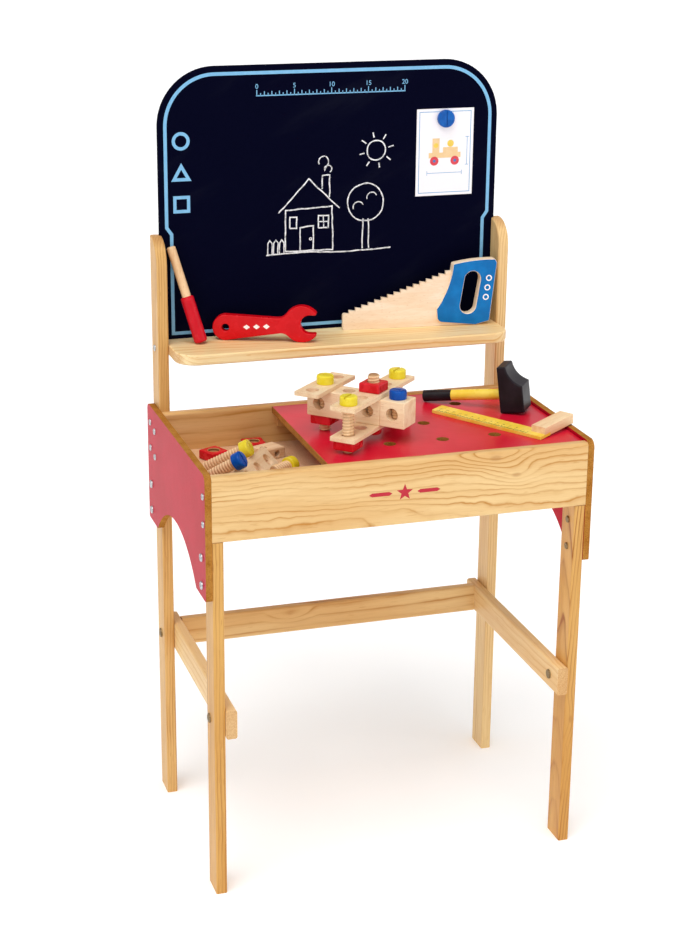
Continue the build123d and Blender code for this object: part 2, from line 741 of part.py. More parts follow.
def set_square():
    """Built with the blade along +X and the stock along -Y, then tipped up on the right panel."""
    stock_far = square_lap - square_blade_width - square_stock_length
    stock_y = (stock_far, square_lap - square_blade_width)
    blade = slab((0, square_blade_length), (-square_blade_width, 0), (0, square_blade_thickness))
    blade = long_edges(blade, Axis.Z, square_edge_round)
    stock = slab((0, square_stock_width), stock_y, (0, square_stock_thickness))
    stock = long_edges(stock, Axis.Y, square_edge_round)
    lap = slab((0, square_stock_width), (-square_blade_width, square_lap - square_blade_width),
               (0, square_blade_thickness))
    stock -= lap
    turn = math.radians(square_yaw)
    reach = square_from_panel / math.sin(turn)
    tip = math.degrees(math.atan2(panel_rise + worktop_drop + rest_gap, reach))
    on_top = worktop_top + rest_gap
    place = Pos(panel_inner - square_from_panel, front_board_rear + square_from_front_board, on_top)
    place *= Rot(0, 0, square_yaw) * Rot(-tip, 0, 0)
    return place * blade, place * stock


# Construction kit pieces, each built on its own and then placed
def kit_bolt(length):
    """Wooden bolt along Z: its tip at z = 0, its slotted head on top of a ridged thread."""
    ridges = round(length / kit_thread_pitch)
    pitch = length / ridges
    root = kit_bolt_radius - kit_thread_depth
    outline = [(0, 0), (root, 0)]
    for i in range(ridges):
        outline.append((kit_bolt_radius, (i + 0.5) * pitch))
        outline.append((root, (i + 1) * pitch))
    outline.append((0, length))
    thread = revolve(Plane.XZ * make_face(Polyline(*outline, close=True)), Axis.Z)
    head = Cylinder(kit_head_radius, kit_head_height, align=(Align.CENTER, Align.CENTER, Align.MIN))
    head = Pos(0, 0, length) * head
    head = fillet(head.edges().filter_by(GeomType.CIRCLE).sort_by(Axis.Z)[-1], kit_head_round)
    head -= Pos(0, 0, length + kit_head_height) * Box(3 * kit_head_radius, kit_slot_width, 2 * kit_slot_depth)
    return thread + head


def kit_nut():
    """Square nut on z = 0."""
    nut = Pos(0, 0, kit_nut_height / 2) * Box(kit_nut_width, kit_nut_width, kit_nut_height)
    nut = fillet(nut.edges(), kit_nut_round)
    return nut - Cylinder(kit_nut_radius, 3 * kit_nut_height)


def module_centres(count):
    return [(i - (count - 1) / 2) * kit_module for i in range(count)]


def kit_strip(holes):
    """Flat strip along X on z = 0 with a row of holes."""
    strip = Pos(0, 0, kit_strip_thickness / 2) * Box(holes * kit_module, kit_module, kit_strip_thickness)
    strip = long_edges(strip, Axis.Z, kit_edge_round)
    for x in module_centres(holes):
        strip -= Pos(x, 0, 0) * Cylinder(kit_hole_radius, 3 * kit_strip_thickness)
    return strip


def kit_bar(holes):
    """Square bar along X on z = 0, drilled both ways at each module."""
    bar = Pos(0, 0, kit_module / 2) * Box(holes * kit_module, kit_module, kit_module)
    bar = fillet(bar.edges(), kit_edge_round)
    drill = Cylinder(kit_hole_radius, 2 * kit_module)
    for x in module_centres(holes):
        bar -= Pos(x, 0, kit_module / 2) * drill
        bar -= Pos(x, 0, kit_module / 2) * Rot(90, 0, 0) * drill
    return bar


def kit_flat_block():
    """Low block on z = 0 with an upright hole near one end and a hole through its middle from front to back."""
    block = Pos(0, 0, kit_block_height / 2) * Box(kit_module, kit_block_width, kit_block_height)
    block = fillet(block.edges(), kit_edge_round)
    block -= Pos(-kit_block_hole_offset, 0, 0) * Cylinder(kit_block_hole_radius, 3 * kit_block_height)
    across = Rot(90, 0, 0) * Cylinder(kit_block_hole_radius, 2 * kit_block_width)
    return block - Pos(kit_block_hole_offset / 2, 0, kit_block_height / 2) * across


def plane_parts():
    """The aeroplane stands on the tips of its three long bolts."""
    origin = Pos(worktop_left + plane_from_worktop_left, front_board_rear + plane_from_front_board, worktop_top)
    along = origin * Rot(0, 0, plane_heading)
    across = along * Rot(0, 0, 90)
    nut_z = kit_tip
    lower_z = nut_z + kit_nut_height
    body_z = lower_z + kit_strip_thickness
    upper_z = body_z + kit_module
    head_z = upper_z + kit_strip_thickness
    body_middle = (1 - plane_body_holes) / 2 * kit_module
    tail_x = (1 - plane_body_holes) * kit_module
    nose_x = kit_module
    wing_end = (plane_wing_holes - 1) / 2 * kit_module
    bolt_length = head_z

    fuselage = Pos(body_middle, 0, body_z) * kit_bar(plane_body_holes)
    nose = Pos(nose_x, 0, body_z) * kit_bar(1)
    joint_x = kit_module / 2
    middle_z = body_z + kit_module / 2
    dowel = rod_x((joint_x - kit_dowel_bite, joint_x + kit_dowel_bite), 0, middle_z, kit_dowel_radius)
    socket = rod_x((joint_x - kit_dowel_bite - fastener_fit, joint_x + kit_dowel_bite + fastener_fit), 0,
                   middle_z, kit_dowel_radius + fastener_fit)
    bolt = kit_bolt(bolt_length)
    wing_bolts = [across * Pos(side * wing_end, 0, 0) * bolt for side in (-1, 1)]
    tail_bolt = along * Pos(tail_x, 0, 0) * bolt
    middle_bolt = Pos(0, 0, -kit_middle_bolt_length) * kit_bolt(kit_middle_bolt_length)
    middle_bolt = Pos(0, 0, lower_z) * Rot(180, 0, 0) * middle_bolt
    nose_bolt = Pos(nose_x, 0, upper_z - kit_short_bolt_length) * kit_bolt(kit_short_bolt_length)
    nut = kit_nut()
    return {
        "plane_fuselage": along * (fuselage - socket),
        "plane_nose_block": along * (nose - socket),
        "plane_nose_dowel": along * dowel,
        "plane_upper_wing": across * Pos(0, 0, upper_z) * kit_strip(plane_wing_holes),
        "plane_lower_wing": across * Pos(0, 0, lower_z) * kit_strip(plane_wing_holes),
        "plane_tail": along * Pos(tail_x, 0, upper_z) * Rot(0, 0, 90) * kit_strip(plane_body_holes),
        "plane_bolts": Compound(wing_bolts + [tail_bolt]),
        "plane_middle_bolt": along * middle_bolt,
        "plane_nose_bolt": along * nose_bolt,
        "plane_front_nut": across * Pos(-wing_end, 0, nut_z) * nut,
        "plane_rear_nut": across * Pos(wing_end, 0, nut_z) * nut,
        "plane_tail_nut": along * Pos(tail_x, 0, body_z - kit_nut_height) * nut,
        "plane_top_nut": along * Pos(0, 0, head_z) * nut,
    }


def tray_place(place, heading, z):
    """Place in the tray from its distances to the left panel and the rear board, and a heading."""
    from_panel, from_rear = place
    return Pos(from_panel - panel_inner, rear_board_front - from_rear, z) * Rot(0, 0, heading)


def head_first(length):
    """Bolt on its side with its tip towards +X and the middle of its head at the origin."""
    return Rot(0, -90, 0) * Pos(0, 0, -length - kit_head_height / 2) * kit_bolt(length)


def tilted_strip():
    """The strip on its lower long edge, the place of its raised edge's rear end, and that edge's height."""
    tilt = math.radians(loose_strip_tilt)
    reach = kit_module * math.cos(tilt) - kit_strip_thickness * math.sin(tilt)
    height = kit_module * math.sin(tilt) + kit_strip_thickness * math.cos(tilt)
    end = tray_place(loose_strip_end, loose_strip_heading, floor_top + rest_gap)
    strip = Pos(-loose_strip_holes * kit_module / 2, kit_module / 2, 0) * kit_strip(loose_strip_holes)
    strip = end * Pos(0, -reach, 0) * Rot(loose_strip_tilt, 0, 0) * strip
    return strip, end * Pos(0, 0, height), height


def leaning_bolt(edge_end, edge_height, along, turn, radius, back):
    """Bolt with its tip on the tray floor, laid on the strip's raised edge behind its head's middle."""
    reach = kit_bolt_length + kit_head_height / 2 - back
    above = radius + rest_gap
    step = above - kit_bolt_radius + kit_thread_depth
    lean = math.asin(edge_height / math.hypot(reach, step)) + math.atan2(step, reach)
    place = edge_end * Pos(-along, 0, 0) * Rot(0, 0, turn) * Rot(0, math.degrees(lean), 0)
    return place * Pos(-back, 0, above) * head_first(kit_bolt_length)


def loose_parts():
    """Two nuts, a block and a bolt lie on the tray floor, and two more bolts lean on a tilted strip."""
    on_floor = floor_top + rest_gap
    nut_left = tray_place(loose_nut_left_place, loose_nut_left_heading, on_floor)
    nut_rear = tray_place(loose_nut_rear_place, loose_nut_rear_heading, on_floor)
    block = tray_place(loose_block_place, loose_block_heading, on_floor)
    yellow = tray_place(loose_yellow_bolt_head, loose_yellow_bolt_heading, on_floor + kit_head_radius)
    strip, end, height = tilted_strip()
    hook = kit_head_height / 2 + loose_blue_bolt_hook
    left = leaning_bolt(end, height, loose_left_bolt_along, loose_left_bolt_turn, kit_head_radius, 0)
    blue = leaning_bolt(end, height, loose_blue_bolt_along, loose_blue_bolt_turn, kit_bolt_radius, hook)
    return {
        "loose_nut_left": nut_left * kit_nut(),
        "loose_nut_rear": nut_rear * kit_nut(),
        "loose_block": block * kit_flat_block(),
        "loose_strip": strip,
        "loose_left_bolt": left,
        "loose_blue_bolt": blue,
        "loose_yellow_bolt": yellow * head_first(kit_short_bolt_length),
    }


def all_parts():
    parts = {}
    for name, make in (("front_leg", front_leg), ("rear_post", rear_post), ("side_panel", side_panel),
                       ("side_rail", side_rail)):
        parts["left_" + name], parts["right_" + name] = both_sides(make())
    parts["front_board"] = front_board()
    parts["rear_board"] = rear_board()
    parts["front_cleat"] = cleat((front_board_rear, front_cleat_face), front_cleat_face, -1)
    parts["rear_cleat"] = cleat((rear_cleat_face, rear_board_front), rear_cleat_face, 1)
    parts["cleat_screws"] = cleat_screws()
    parts["worktop"] = worktop()
    parts["tray_floor"] = tray_floor()
    parts["cross_rail"] = cross_rail()
    parts["tool_shelf"] = tool_shelf()
    parts["chalkboard"] = chalkboard()
    parts["panel_screws"] = mirrored_group(panel_screws())
    parts["panel_bolts"] = mirrored_group(panel_bolts())
    parts["panel_nuts"] = mirrored_group(panel_nuts())
    parts["rail_bolts"] = mirrored_group(rail_bolts())
    parts["rail_nuts"] = mirrored_group([rail_nut()])
    parts["barrel_nuts"] = mirrored_group([barrel_nut()])
    parts["shelf_screws"] = mirrored_group([shelf_screw()])
    parts["shelf_dowels"] = mirrored_group([shelf_dowel()])
    parts["plan_card"] = plan_card()
    parts["magnet"] = magnet()
    parts["screwdriver_handle"], parts["screwdriver_shaft"] = screwdriver()
    parts["wrench"] = wrench()
    parts["saw_blade"], parts["saw_front_cheek"], parts["saw_rear_cheek"] = saw()
    parts["hammer_head"], parts["hammer_handle"], parts["hammer_grip"] = hammer()
    parts["square_blade"], parts["square_stock"] = set_square()
    parts.update(plane_parts())
    parts.update(loose_parts())
    return parts


os.makedirs("parts", exist_ok=True)
for node, shape in all_parts().items():
    export_step(shape, f"parts/{node}.step")
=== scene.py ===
import math

import bmesh
import bpy
from mathutils import Matrix, Vector, noise


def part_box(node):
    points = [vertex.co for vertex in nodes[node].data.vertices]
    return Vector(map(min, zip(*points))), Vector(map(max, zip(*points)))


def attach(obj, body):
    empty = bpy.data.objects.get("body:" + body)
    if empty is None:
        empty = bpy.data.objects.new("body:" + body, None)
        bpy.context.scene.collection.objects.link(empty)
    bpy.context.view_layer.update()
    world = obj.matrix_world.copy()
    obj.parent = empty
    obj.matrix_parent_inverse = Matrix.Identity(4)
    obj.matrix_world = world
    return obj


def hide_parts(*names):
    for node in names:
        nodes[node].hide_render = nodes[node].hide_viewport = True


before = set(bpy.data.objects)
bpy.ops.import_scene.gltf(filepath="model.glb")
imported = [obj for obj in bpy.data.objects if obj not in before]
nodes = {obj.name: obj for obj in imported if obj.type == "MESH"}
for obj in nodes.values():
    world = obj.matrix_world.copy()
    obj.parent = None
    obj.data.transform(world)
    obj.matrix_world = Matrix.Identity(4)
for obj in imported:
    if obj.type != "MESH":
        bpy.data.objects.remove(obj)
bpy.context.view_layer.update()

MM = 0.001

# Heights of the surfaces that things lie on, and the gap left under them, in millimetres
TRAY_TOP = 505.0
WORKTOP_TOP = 555.0
SHELF_TOP = 644.0
REST_GAP = 0.3

# Headings about Z of the things on the bench, in degrees
WRENCH_YAW = -22.7
SAW_YAW = -5.5
HAMMER_YAW = -37.0
SQUARE_YAW = 121.8
PLANE_YAW = -45.0
BLOCK_YAW = 22.0
STRIP_YAW = 54.7
TRAY_BOLT_YAW = 214.0

BOLT_RADIUS = 7.5
BOLT_LENGTH = 61.0
MIDDLE_BOLT_LENGTH = 65.5
SHORT_BOLT_LENGTH = 28.0
THREAD_PITCH = 4.0
THREAD_DEPTH = 0.9
HEAD_RADIUS = 11.0
HEAD_HEIGHT = 11.5
HEAD_ROUND = 2.5
SLOT_WIDTH = 2.6
SLOT_DEPTH = 2.5
NUT_BORE = 8.2


def linear(code):
    """Linear colour of a six-digit sRGB code."""
    parts = [int(code[i:i + 2], 16) / 255 for i in (0, 2, 4)]
    parts = [p / 12.92 if p <= 0.04045 else ((p + 0.055) / 1.055) ** 2.4 for p in parts]
    return (*parts, 1.0)


class Shader:
    """Node tree of one material. Each call adds a node and returns the socket that it ends in."""

    def __init__(self, name, **surface):
        self.material = bpy.data.materials.new(name)
        self.material.use_nodes = True
        self.tree = self.material.node_tree
        self.surface = self.tree.nodes["Principled BSDF"]
        place = self.add("ShaderNodeTexCoord")
        self.rest = place.outputs["Object"]
        self.normal = place.outputs["Normal"]
        for key, value in surface.items():
            self.put(self.surface.inputs[key.replace("_", " ")], value)

    def put(self, socket, value):
        if isinstance(value, bpy.types.NodeSocket):
            self.tree.links.new(value, socket)
        else:
            socket.default_value = value

    def add(self, kind, values=None, **settings):
        node = self.tree.nodes.new(kind)
        for key, value in settings.items():
            setattr(node, key, value)
        for key, value in (values or {}).items():
            self.put(node.inputs[key], value)
        return node

    def math(self, operation, a, b=0.0):
        return self.add("ShaderNodeMath", {0: a, 1: b}, operation=operation).outputs[0]

    def vector(self, operation, a, b=(0, 0, 0)):
        node = self.add("ShaderNodeVectorMath", {0: a, 1: b}, operation=operation)
        return node.outputs["Value" if operation in ("DOT_PRODUCT", "LENGTH") else "Vector"]

    def scaled(self, a, factor):
        return self.add("ShaderNodeVectorMath", {0: a, "Scale": factor}, operation="SCALE").outputs["Vector"]

    def turned(self, a, angle, axis=(0, 0, 1)):
        values = {"Vector": a, "Angle": angle, "Axis": axis}
        return self.add("ShaderNodeVectorRotate", values, rotation_type="AXIS_ANGLE").outputs["Vector"]

    def noise(self, a, scale, detail=2.0, roughness=0.5, colour=False):
        values = {"Vector": a, "Scale": scale, "Detail": detail, "Roughness": roughness}
        return self.add("ShaderNodeTexNoise", values).outputs["Color" if colour else "Fac"]

    def grain(self, a, scales, detail, roughness=0.5, colour=False):
        """Noise with a scale of its own along each axis."""
        return self.noise(self.vector("MULTIPLY", a, scales), 1.0, detail, roughness, colour)

    def ramp(self, value, *stops):
        """Curve through (position, grey) stops."""
        node = self.add("ShaderNodeValToRGB", {"Fac": value})
        points = node.color_ramp.elements
        while len(points) < len(stops):
            points.new(0.5)
        for point, (position, shade) in zip(points, stops):
            point.position = position
            point.color = (shade, shade, shade, 1.0)
        return node.outputs["Color"]

    def mix(self, share, a, b, mode="MIX"):
        node = self.add("ShaderNodeMix", {0: share, 6: a, 7: b}, data_type="RGBA", blend_type=mode)
        return node.outputs[2]

    def span(self, value, low, high, start=0.0, end=1.0):
        """Smooth step of a value from low to high."""
        values = {"Value": value, "From Min": low, "From Max": high, "To Min": start, "To Max": end}
        return self.add("ShaderNodeMapRange", values, interpolation_type="SMOOTHSTEP").outputs["Result"]

    def edges(self, radius):
        """1 along the piece's edges and 0 on its faces."""
        soft = self.add("ShaderNodeBevel", {"Radius": radius}, samples=4).outputs["Normal"]
        true = self.add("ShaderNodeNewGeometry").outputs["Normal"]
        return self.span(self.vector("DOT_PRODUCT", soft, true), 0.99, 0.85)

    def finish(self, colour, rough, height=None, strength=0.2, distance=0.0003):
        self.put(self.surface.inputs["Base Color"], colour)
        self.put(self.surface.inputs["Roughness"], rough)
        if height is not None:
            values = {"Height": height, "Strength": strength, "Distance": distance}
            self.put(self.surface.inputs["Normal"], self.add("ShaderNodeBump", values).outputs["Normal"])
        return self.material


def dress(material, *names):
    """Put a material on every slot of the named CAD nodes."""
    for name in names:
        mesh = nodes[name].data
        if not mesh.materials:
            mesh.materials.append(material)
        for slot in nodes[name].material_slots:
            slot.material = material


AXES = {"X": (1, 0, 0), "Y": (0, 1, 0), "Z": (0, 0, 1)}


def along_grain(axis, along, across):
    """Scale that stretches a pattern along one axis."""
    return tuple(along if letter == axis else across for letter in "XYZ")


# Pine: growth rings round a pith line beside the piece, bent by slow noise, with fibres and knots
# Each shade has an early wood, a body and a late wood colour
PALE_PINE = ("EFD19A", "E3BA7E", "C4852F")
AMBER_PINE = ("D9A75C", "CA9144", "9A560E")
# Width in metres of a ring of the wave texture at scale 1
RING_AT_SCALE_1 = 0.31416
GREY = (0.5, 0.5, 0.5)


def pine(name, axis, centre, pith, ring, bold, shade, wavy, lean=(0, 0, 0), knots=()):
    """centre is a point of the piece and pith the way from it to the middle of the tree, in millimetres.

    ring is the width of a growth ring in metres and bold the strength of its line. shade runs from pale wood at 0
    to amber wood at 1, and wavy from straight to swirling lines. lean is the slope of the pith line along the
    grain. Each knot is its place and radius in millimetres and how far it pulls the rings.
    """
    s = Shader(name, Specular_IOR_Level=0.3)
    early, body, late_wood = (
        tuple(p + (q - p) * shade for p, q in zip(linear(pale), linear(amber)))
        for pale, amber in zip(PALE_PINE, AMBER_PINE))
    local = s.vector("SUBTRACT", s.rest, tuple(Vector(centre) * MM))
    slope = s.scaled(lean, s.vector("DOT_PRODUCT", local, AXES[axis]))
    local = s.vector("SUBTRACT", s.vector("SUBTRACT", local, tuple(Vector(pith) * MM)), slope)
    slow = s.grain(s.rest, along_grain(axis, 6.0, 14.0), 2.0, 0.5, colour=True)
    bend = s.scaled(s.vector("SUBTRACT", slow, GREY), 0.022 * wavy)
    small = s.grain(s.rest, along_grain(axis, 40.0, 60.0), 2.0, 0.5, colour=True)
    ripple = s.scaled(s.vector("SUBTRACT", small, GREY), 0.005 * wavy)
    bent = s.vector("ADD", s.vector("ADD", local, bend), ripple)
    phase = s.math("MULTIPLY", s.grain(s.rest, along_grain(axis, 2.0, 26.0), 1.0), 12.0)
    dark = None
    for at, size, pull in knots:
        away = s.vector("SUBTRACT", s.rest, tuple(Vector(at) * MM))
        away = s.vector("MULTIPLY", away, along_grain(axis, 0.45, 1.0))
        reach = s.vector("LENGTH", away)
        phase = s.math("ADD", phase, s.span(reach, size * 6 * MM, 0.0, 0.0, pull))
        eye = s.span(reach, size * MM, size * 0.3 * MM)
        dark = eye if dark is None else s.math("MAXIMUM", dark, eye)
    values = {"Vector": bent, "Scale": RING_AT_SCALE_1 / ring, "Distortion": 0.0, "Phase Offset": phase}
    wave = s.add("ShaderNodeTexWave", values, wave_type="RINGS", rings_direction=axis, wave_profile="SAW")
    rings = wave.outputs["Fac"]
    late = s.ramp(rings, (0.0, 0.12), (0.12, 0.0), (0.52, 0.05), (0.76, 0.4), (0.88, 1.0), (1.0, 0.12))
    weight = s.grain(s.rest, along_grain(axis, 5.0, 38.0), 2.0, 0.6)
    weight = s.span(weight, 0.32, 0.66, 0.15 * bold, bold)
    tone = s.grain(s.rest, along_grain(axis, 2.5, 24.0), 3.0, 0.55)
    colour = s.mix(s.span(tone, 0.34, 0.68), early, body)
    colour = s.mix(s.math("MULTIPLY", late, weight), colour, late_wood)
    fibre = s.grain(s.rest, along_grain(axis, 26.0, 1300.0), 3.0, 0.6)
    colour = s.mix(s.span(fibre, 0.44, 0.72, 0.0, 0.14), colour, late_wood, "MULTIPLY")
    ducts = s.grain(s.rest, along_grain(axis, 55.0, 900.0), 0.0)
    colour = s.mix(s.span(ducts, 0.74, 0.8, 0.0, 0.3), colour, late_wood)
    if dark is not None:
        colour = s.mix(s.math("MULTIPLY", dark, 0.4), colour, linear("A5682F"))
    facing = s.math("ABSOLUTE", s.vector("DOT_PRODUCT", s.normal, AXES[axis]))
    pores = s.span(s.noise(s.rest, 900.0, 2.0, 0.6), 0.35, 0.65, 0.3, 0.85)
    ends = s.math("MULTIPLY", s.span(facing, 0.6, 0.92), pores)
    colour = s.mix(ends, colour, linear("C18B55"))
    # Painted highlight: the edges are mixed towards the early wood colour
    colour = s.mix(s.math("MULTIPLY", s.edges(0.0009), 0.2), colour, early)
    rough = s.span(fibre, 0.3, 0.8, 0.36, 0.52)
    height = s.math("ADD", s.math("MULTIPLY", fibre, 0.6), s.math("MULTIPLY", late, 0.4))
    return s.finish(colour, rough, height, 0.12, 0.0002)


# Bare or oiled hardwood: close straight grain with the short dark flecks of its rays
def hardwood(name, axis="X", heading=0.0, light="F6DDB8", dark="EAC79C", fleck="C99A6A", root=0.0):
    """heading turns the grain about Z. Inside the root radius, as in a thread's groove, the wood is darker."""
    s = Shader(name)
    rest = s.turned(s.rest, -math.radians(heading)) if heading else s.rest
    tone = s.grain(rest, along_grain(axis, 8.0, 90.0), 3.0, 0.55)
    colour = s.mix(s.span(tone, 0.3, 0.72), linear(light), linear(dark))
    lines = s.grain(rest, along_grain(axis, 20.0, 800.0), 2.0, 0.6)
    colour = s.mix(s.span(lines, 0.42, 0.75, 0.0, 0.22), colour, linear(dark), "MULTIPLY")
    rays = s.grain(rest, along_grain(axis, 190.0, 1100.0), 0.0)
    colour = s.mix(s.span(rays, 0.7, 0.78, 0.0, 0.4), colour, linear(fleck))
    # Painted highlight: the edges are mixed towards a pale cream
    colour = s.mix(s.math("MULTIPLY", s.edges(0.0006), 0.25), colour, linear("FBEBD2"))
    if root:
        depth = s.vector("LENGTH", s.vector("MULTIPLY", s.rest, (1, 1, 0)))
        colour = s.mix(s.span(depth, root, root - 0.0007, 0.0, 0.75), colour, linear("9A6534"))
    rough = s.span(lines, 0.3, 0.8, 0.5, 0.66)
    return s.finish(colour, rough, lines, 0.15, 0.00018)


def fibre_colour(s, light="B87C34", dark="824C16", cloud="C8944A"):
    """Colour and height of bare fibreboard."""
    specks = s.noise(s.rest, 900.0, 3.0, 0.65)
    clouds = s.noise(s.rest, 60.0, 2.0, 0.5)
    colour = s.mix(s.span(specks, 0.3, 0.72), linear(light), linear(dark))
    return s.mix(s.span(clouds, 0.35, 0.7, 0.0, 0.35), colour, linear(cloud)), specks


def fibreboard(name):
    """Pale, smooth fibreboard with fine specks."""
    s = Shader(name, Specular_IOR_Level=0.3)
    colour, specks = fibre_colour(s, "EBC79F", "D6A97C", "EFD0AC")
    return s.finish(colour, s.span(specks, 0.2, 0.8, 0.5, 0.66), specks, 0.1, 0.0002)


# Board with a glossy red face on both sides and a bare fibreboard edge, with painted shade darkening the edge
# inside its holes
def faced_board(name, axis, gloss, red, bright):
    s = Shader(name, Specular_IOR_Level=gloss)
    edge_colour, specks = fibre_colour(s)
    # Painted shade: the bare edge turns dark brown where ambient occlusion finds a recess, as inside the peg
    # holes
    painted_shade_nook = s.add("ShaderNodeAmbientOcclusion", {"Distance": 0.014}, samples=6).outputs["AO"]
    edge_colour = s.mix(s.span(painted_shade_nook, 0.62, 0.3, 0.0, 0.85), edge_colour, linear("3A1A10"))
    clouds = s.noise(s.rest, 14.0, 3.0, 0.55)
    face = s.mix(s.span(clouds, 0.3, 0.75), linear(red), linear(bright))
    scuffs = s.grain(s.turned(s.rest, 0.6), (30.0, 900.0, 900.0), 2.0, 0.5)
    face = s.mix(s.span(scuffs, 0.7, 0.82, 0.0, 0.1), face, linear("F0606A"))
    facing = s.math("ABSOLUTE", s.vector("DOT_PRODUCT", s.normal, AXES[axis]))
    worn = s.math("MULTIPLY", s.edges(0.0008), s.span(s.noise(s.rest, 240.0, 3.0, 0.6), 0.5, 0.64))
    covered = s.math("SUBTRACT", 1.0, s.math("MULTIPLY", worn, 0.8))
    share = s.math("MULTIPLY", s.span(facing, 0.8, 0.93), covered)
    colour = s.mix(share, edge_colour, face)
    rough = s.math("ADD", s.span(share, 0.0, 1.0, 0.75, 0.28), s.span(scuffs, 0.5, 0.85, 0.0, 0.12))
    peel = s.noise(s.rest, 420.0, 2.0, 0.5)
    height = s.mix(share, specks, s.math("MULTIPLY", peel, 0.35))
    return s.finish(colour, rough, height, 0.12, 0.0002)


def chalk_surface(name):
    """Matt blue-black paint on the front and edges, with wiped dust, and a plain hardboard back."""
    s = Shader(name, Specular_IOR_Level=0.02)
    grit = s.noise(s.rest, 1500.0, 2.0, 0.6)
    wipes = s.grain(s.turned(s.rest, 0.5, (0, 1, 0)), (5.0, 1.0, 26.0), 4.0, 0.6)
    front = s.mix(s.span(grit, 0.3, 0.75), linear("020318"), linear("07081F"))
    front = s.mix(s.span(wipes, 0.5, 0.8, 0.0, 0.012), front, linear("8E94A4"))
    front = s.mix(s.math("MULTIPLY", s.edges(0.0008), 0.12), front, linear("6A5A4A"))
    back, specks = fibre_colour(s, "A97C48", "94683A", "A0733F")
    ways = [s.vector("DOT_PRODUCT", s.rest, AXES[axis]) for axis in "XZ"]
    weave = s.math("MULTIPLY", *(s.math("SINE", s.math("MULTIPLY", way, 2600.0)) for way in ways))
    back = s.mix(s.span(weave, -0.6, 0.9, 0.0, 0.3), back, linear("6E4A22"))
    behind = s.span(s.vector("DOT_PRODUCT", s.normal, AXES["Y"]), 0.6, 0.8)
    colour = s.mix(behind, front, back)
    rough = s.math("ADD", s.span(grit, 0.2, 0.8, 0.66, 0.78), s.math("MULTIPLY", wipes, 0.08))
    return s.finish(colour, rough, s.math("ADD", grit, s.math("MULTIPLY", behind, weave)), 0.1, 0.0002)


def steel(name, light, dark, gloss):
    """Plated steel, patchy, with a painted highlight along its edges. gloss is its least roughness."""
    s = Shader(name, Metallic=1.0)
    patches = s.noise(s.rest, 700.0, 3.0, 0.6)
    colour = s.mix(s.span(patches, 0.3, 0.75), linear(light), linear(dark))
    # Painted highlight: the edges are mixed towards near white
    colour = s.mix(s.math("MULTIPLY", s.edges(0.0004), 0.3), colour, linear("F2F3F4"))
    return s.finish(colour, s.span(patches, 0.2, 0.8, gloss, gloss + 0.18), patches, 0.08, 0.0001)


BARE_WOOD = "E3B989"


def paint_coat(name, coat=0.04):
    return Shader(name, Coat_Weight=coat, Coat_Roughness=0.12, Specular_IOR_Level=0.16)


def rubbed_edges(s, edge):
    """Share of bare wood along the edges, in patches."""
    return s.math("MULTIPLY", edge, s.span(s.noise(s.rest, 300.0, 4.0, 0.65), 0.56, 0.66))


def paint(name, colour, light, axis="X", heading=0.0, gloss=0.22, wear=0.5, coat=0.04):
    """Paint over shaped wood: faint grain under it, orange peel, a painted highlight along its edges, and bare
    wood where edges are rubbed.
    """
    s = paint_coat(name, coat)
    rest = s.turned(s.rest, -math.radians(heading)) if heading else s.rest
    patches = s.noise(s.rest, 45.0, 3.0, 0.55)
    tint = s.mix(s.span(patches, 0.3, 0.75), linear(colour), linear(light))
    grain = s.grain(rest, along_grain(axis, 25.0, 700.0), 2.0, 0.55)
    tint = s.mix(s.span(grain, 0.5, 0.8, 0.0, 0.14), tint, linear(colour), "MULTIPLY")
    edge = s.edges(0.0007)
    # Painted highlight: the edges are mixed towards the lighter paint colour
    tint = s.mix(s.math("MULTIPLY", edge, 0.3), tint, linear(light))
    rubbed = rubbed_edges(s, edge)
    tint = s.mix(s.math("MULTIPLY", rubbed, wear), tint, linear(BARE_WOOD))
    peel = s.noise(s.rest, 650.0, 1.0, 0.5)
    height = s.math("ADD", s.math("MULTIPLY", peel, 0.4), s.math("MULTIPLY", grain, 0.6))
    rough = s.math("ADD", s.span(patches, 0.3, 0.7, gloss, gloss + 0.1), s.math("MULTIPLY", rubbed, 0.25))
    return s.finish(tint, rough, height, 0.1, 0.00015)


def paper(name):
    """White card with fine fibres."""
    s = Shader(name, Specular_IOR_Level=0.4)
    fibre = s.noise(s.rest, 1800.0, 3.0, 0.6)
    clouds = s.noise(s.rest, 40.0, 2.0, 0.5)
    colour = s.mix(s.span(fibre, 0.3, 0.75), linear("FBF8FB"), linear("F1EDF2"))
    colour = s.mix(s.span(clouds, 0.4, 0.75, 0.0, 0.25), colour, linear("F6F1EA"))
    return s.finish(colour, s.span(fibre, 0.2, 0.8, 0.42, 0.56), fibre, 0.06, 0.0001)


def ink(name, colour, light):
    """Screen print: even colour with a slight mottle and a grainy surface."""
    s = Shader(name)
    grain = s.noise(s.rest, 1600.0, 3.0, 0.65)
    patches = s.noise(s.rest, 120.0, 2.0, 0.5)
    tint = s.mix(s.span(grain, 0.35, 0.75, 0.0, 0.5), linear(colour), linear(light))
    tint = s.mix(s.span(patches, 0.35, 0.7, 0.0, 0.35), tint, linear(light))
    return s.finish(tint, s.span(grain, 0.2, 0.8, 0.45, 0.57), grain, 0.06, 0.0001)


def chalk(name):
    """Chalk line: broken white grains with the board between them."""
    s = Shader(name, Specular_IOR_Level=0.1)
    grain = s.noise(s.rest, 1100.0, 3.0, 0.7)
    press = s.noise(s.rest, 160.0, 2.0, 0.5)
    cover = s.math("ADD", grain, s.math("MULTIPLY", press, 0.5))
    colour = s.mix(s.span(cover, 0.56, 0.78), linear("3A3D4C"), linear("F4F5F7"))
    return s.finish(colour, s.span(grain, 0.2, 0.8, 0.8, 0.95), cover, 0.3, 0.0003)


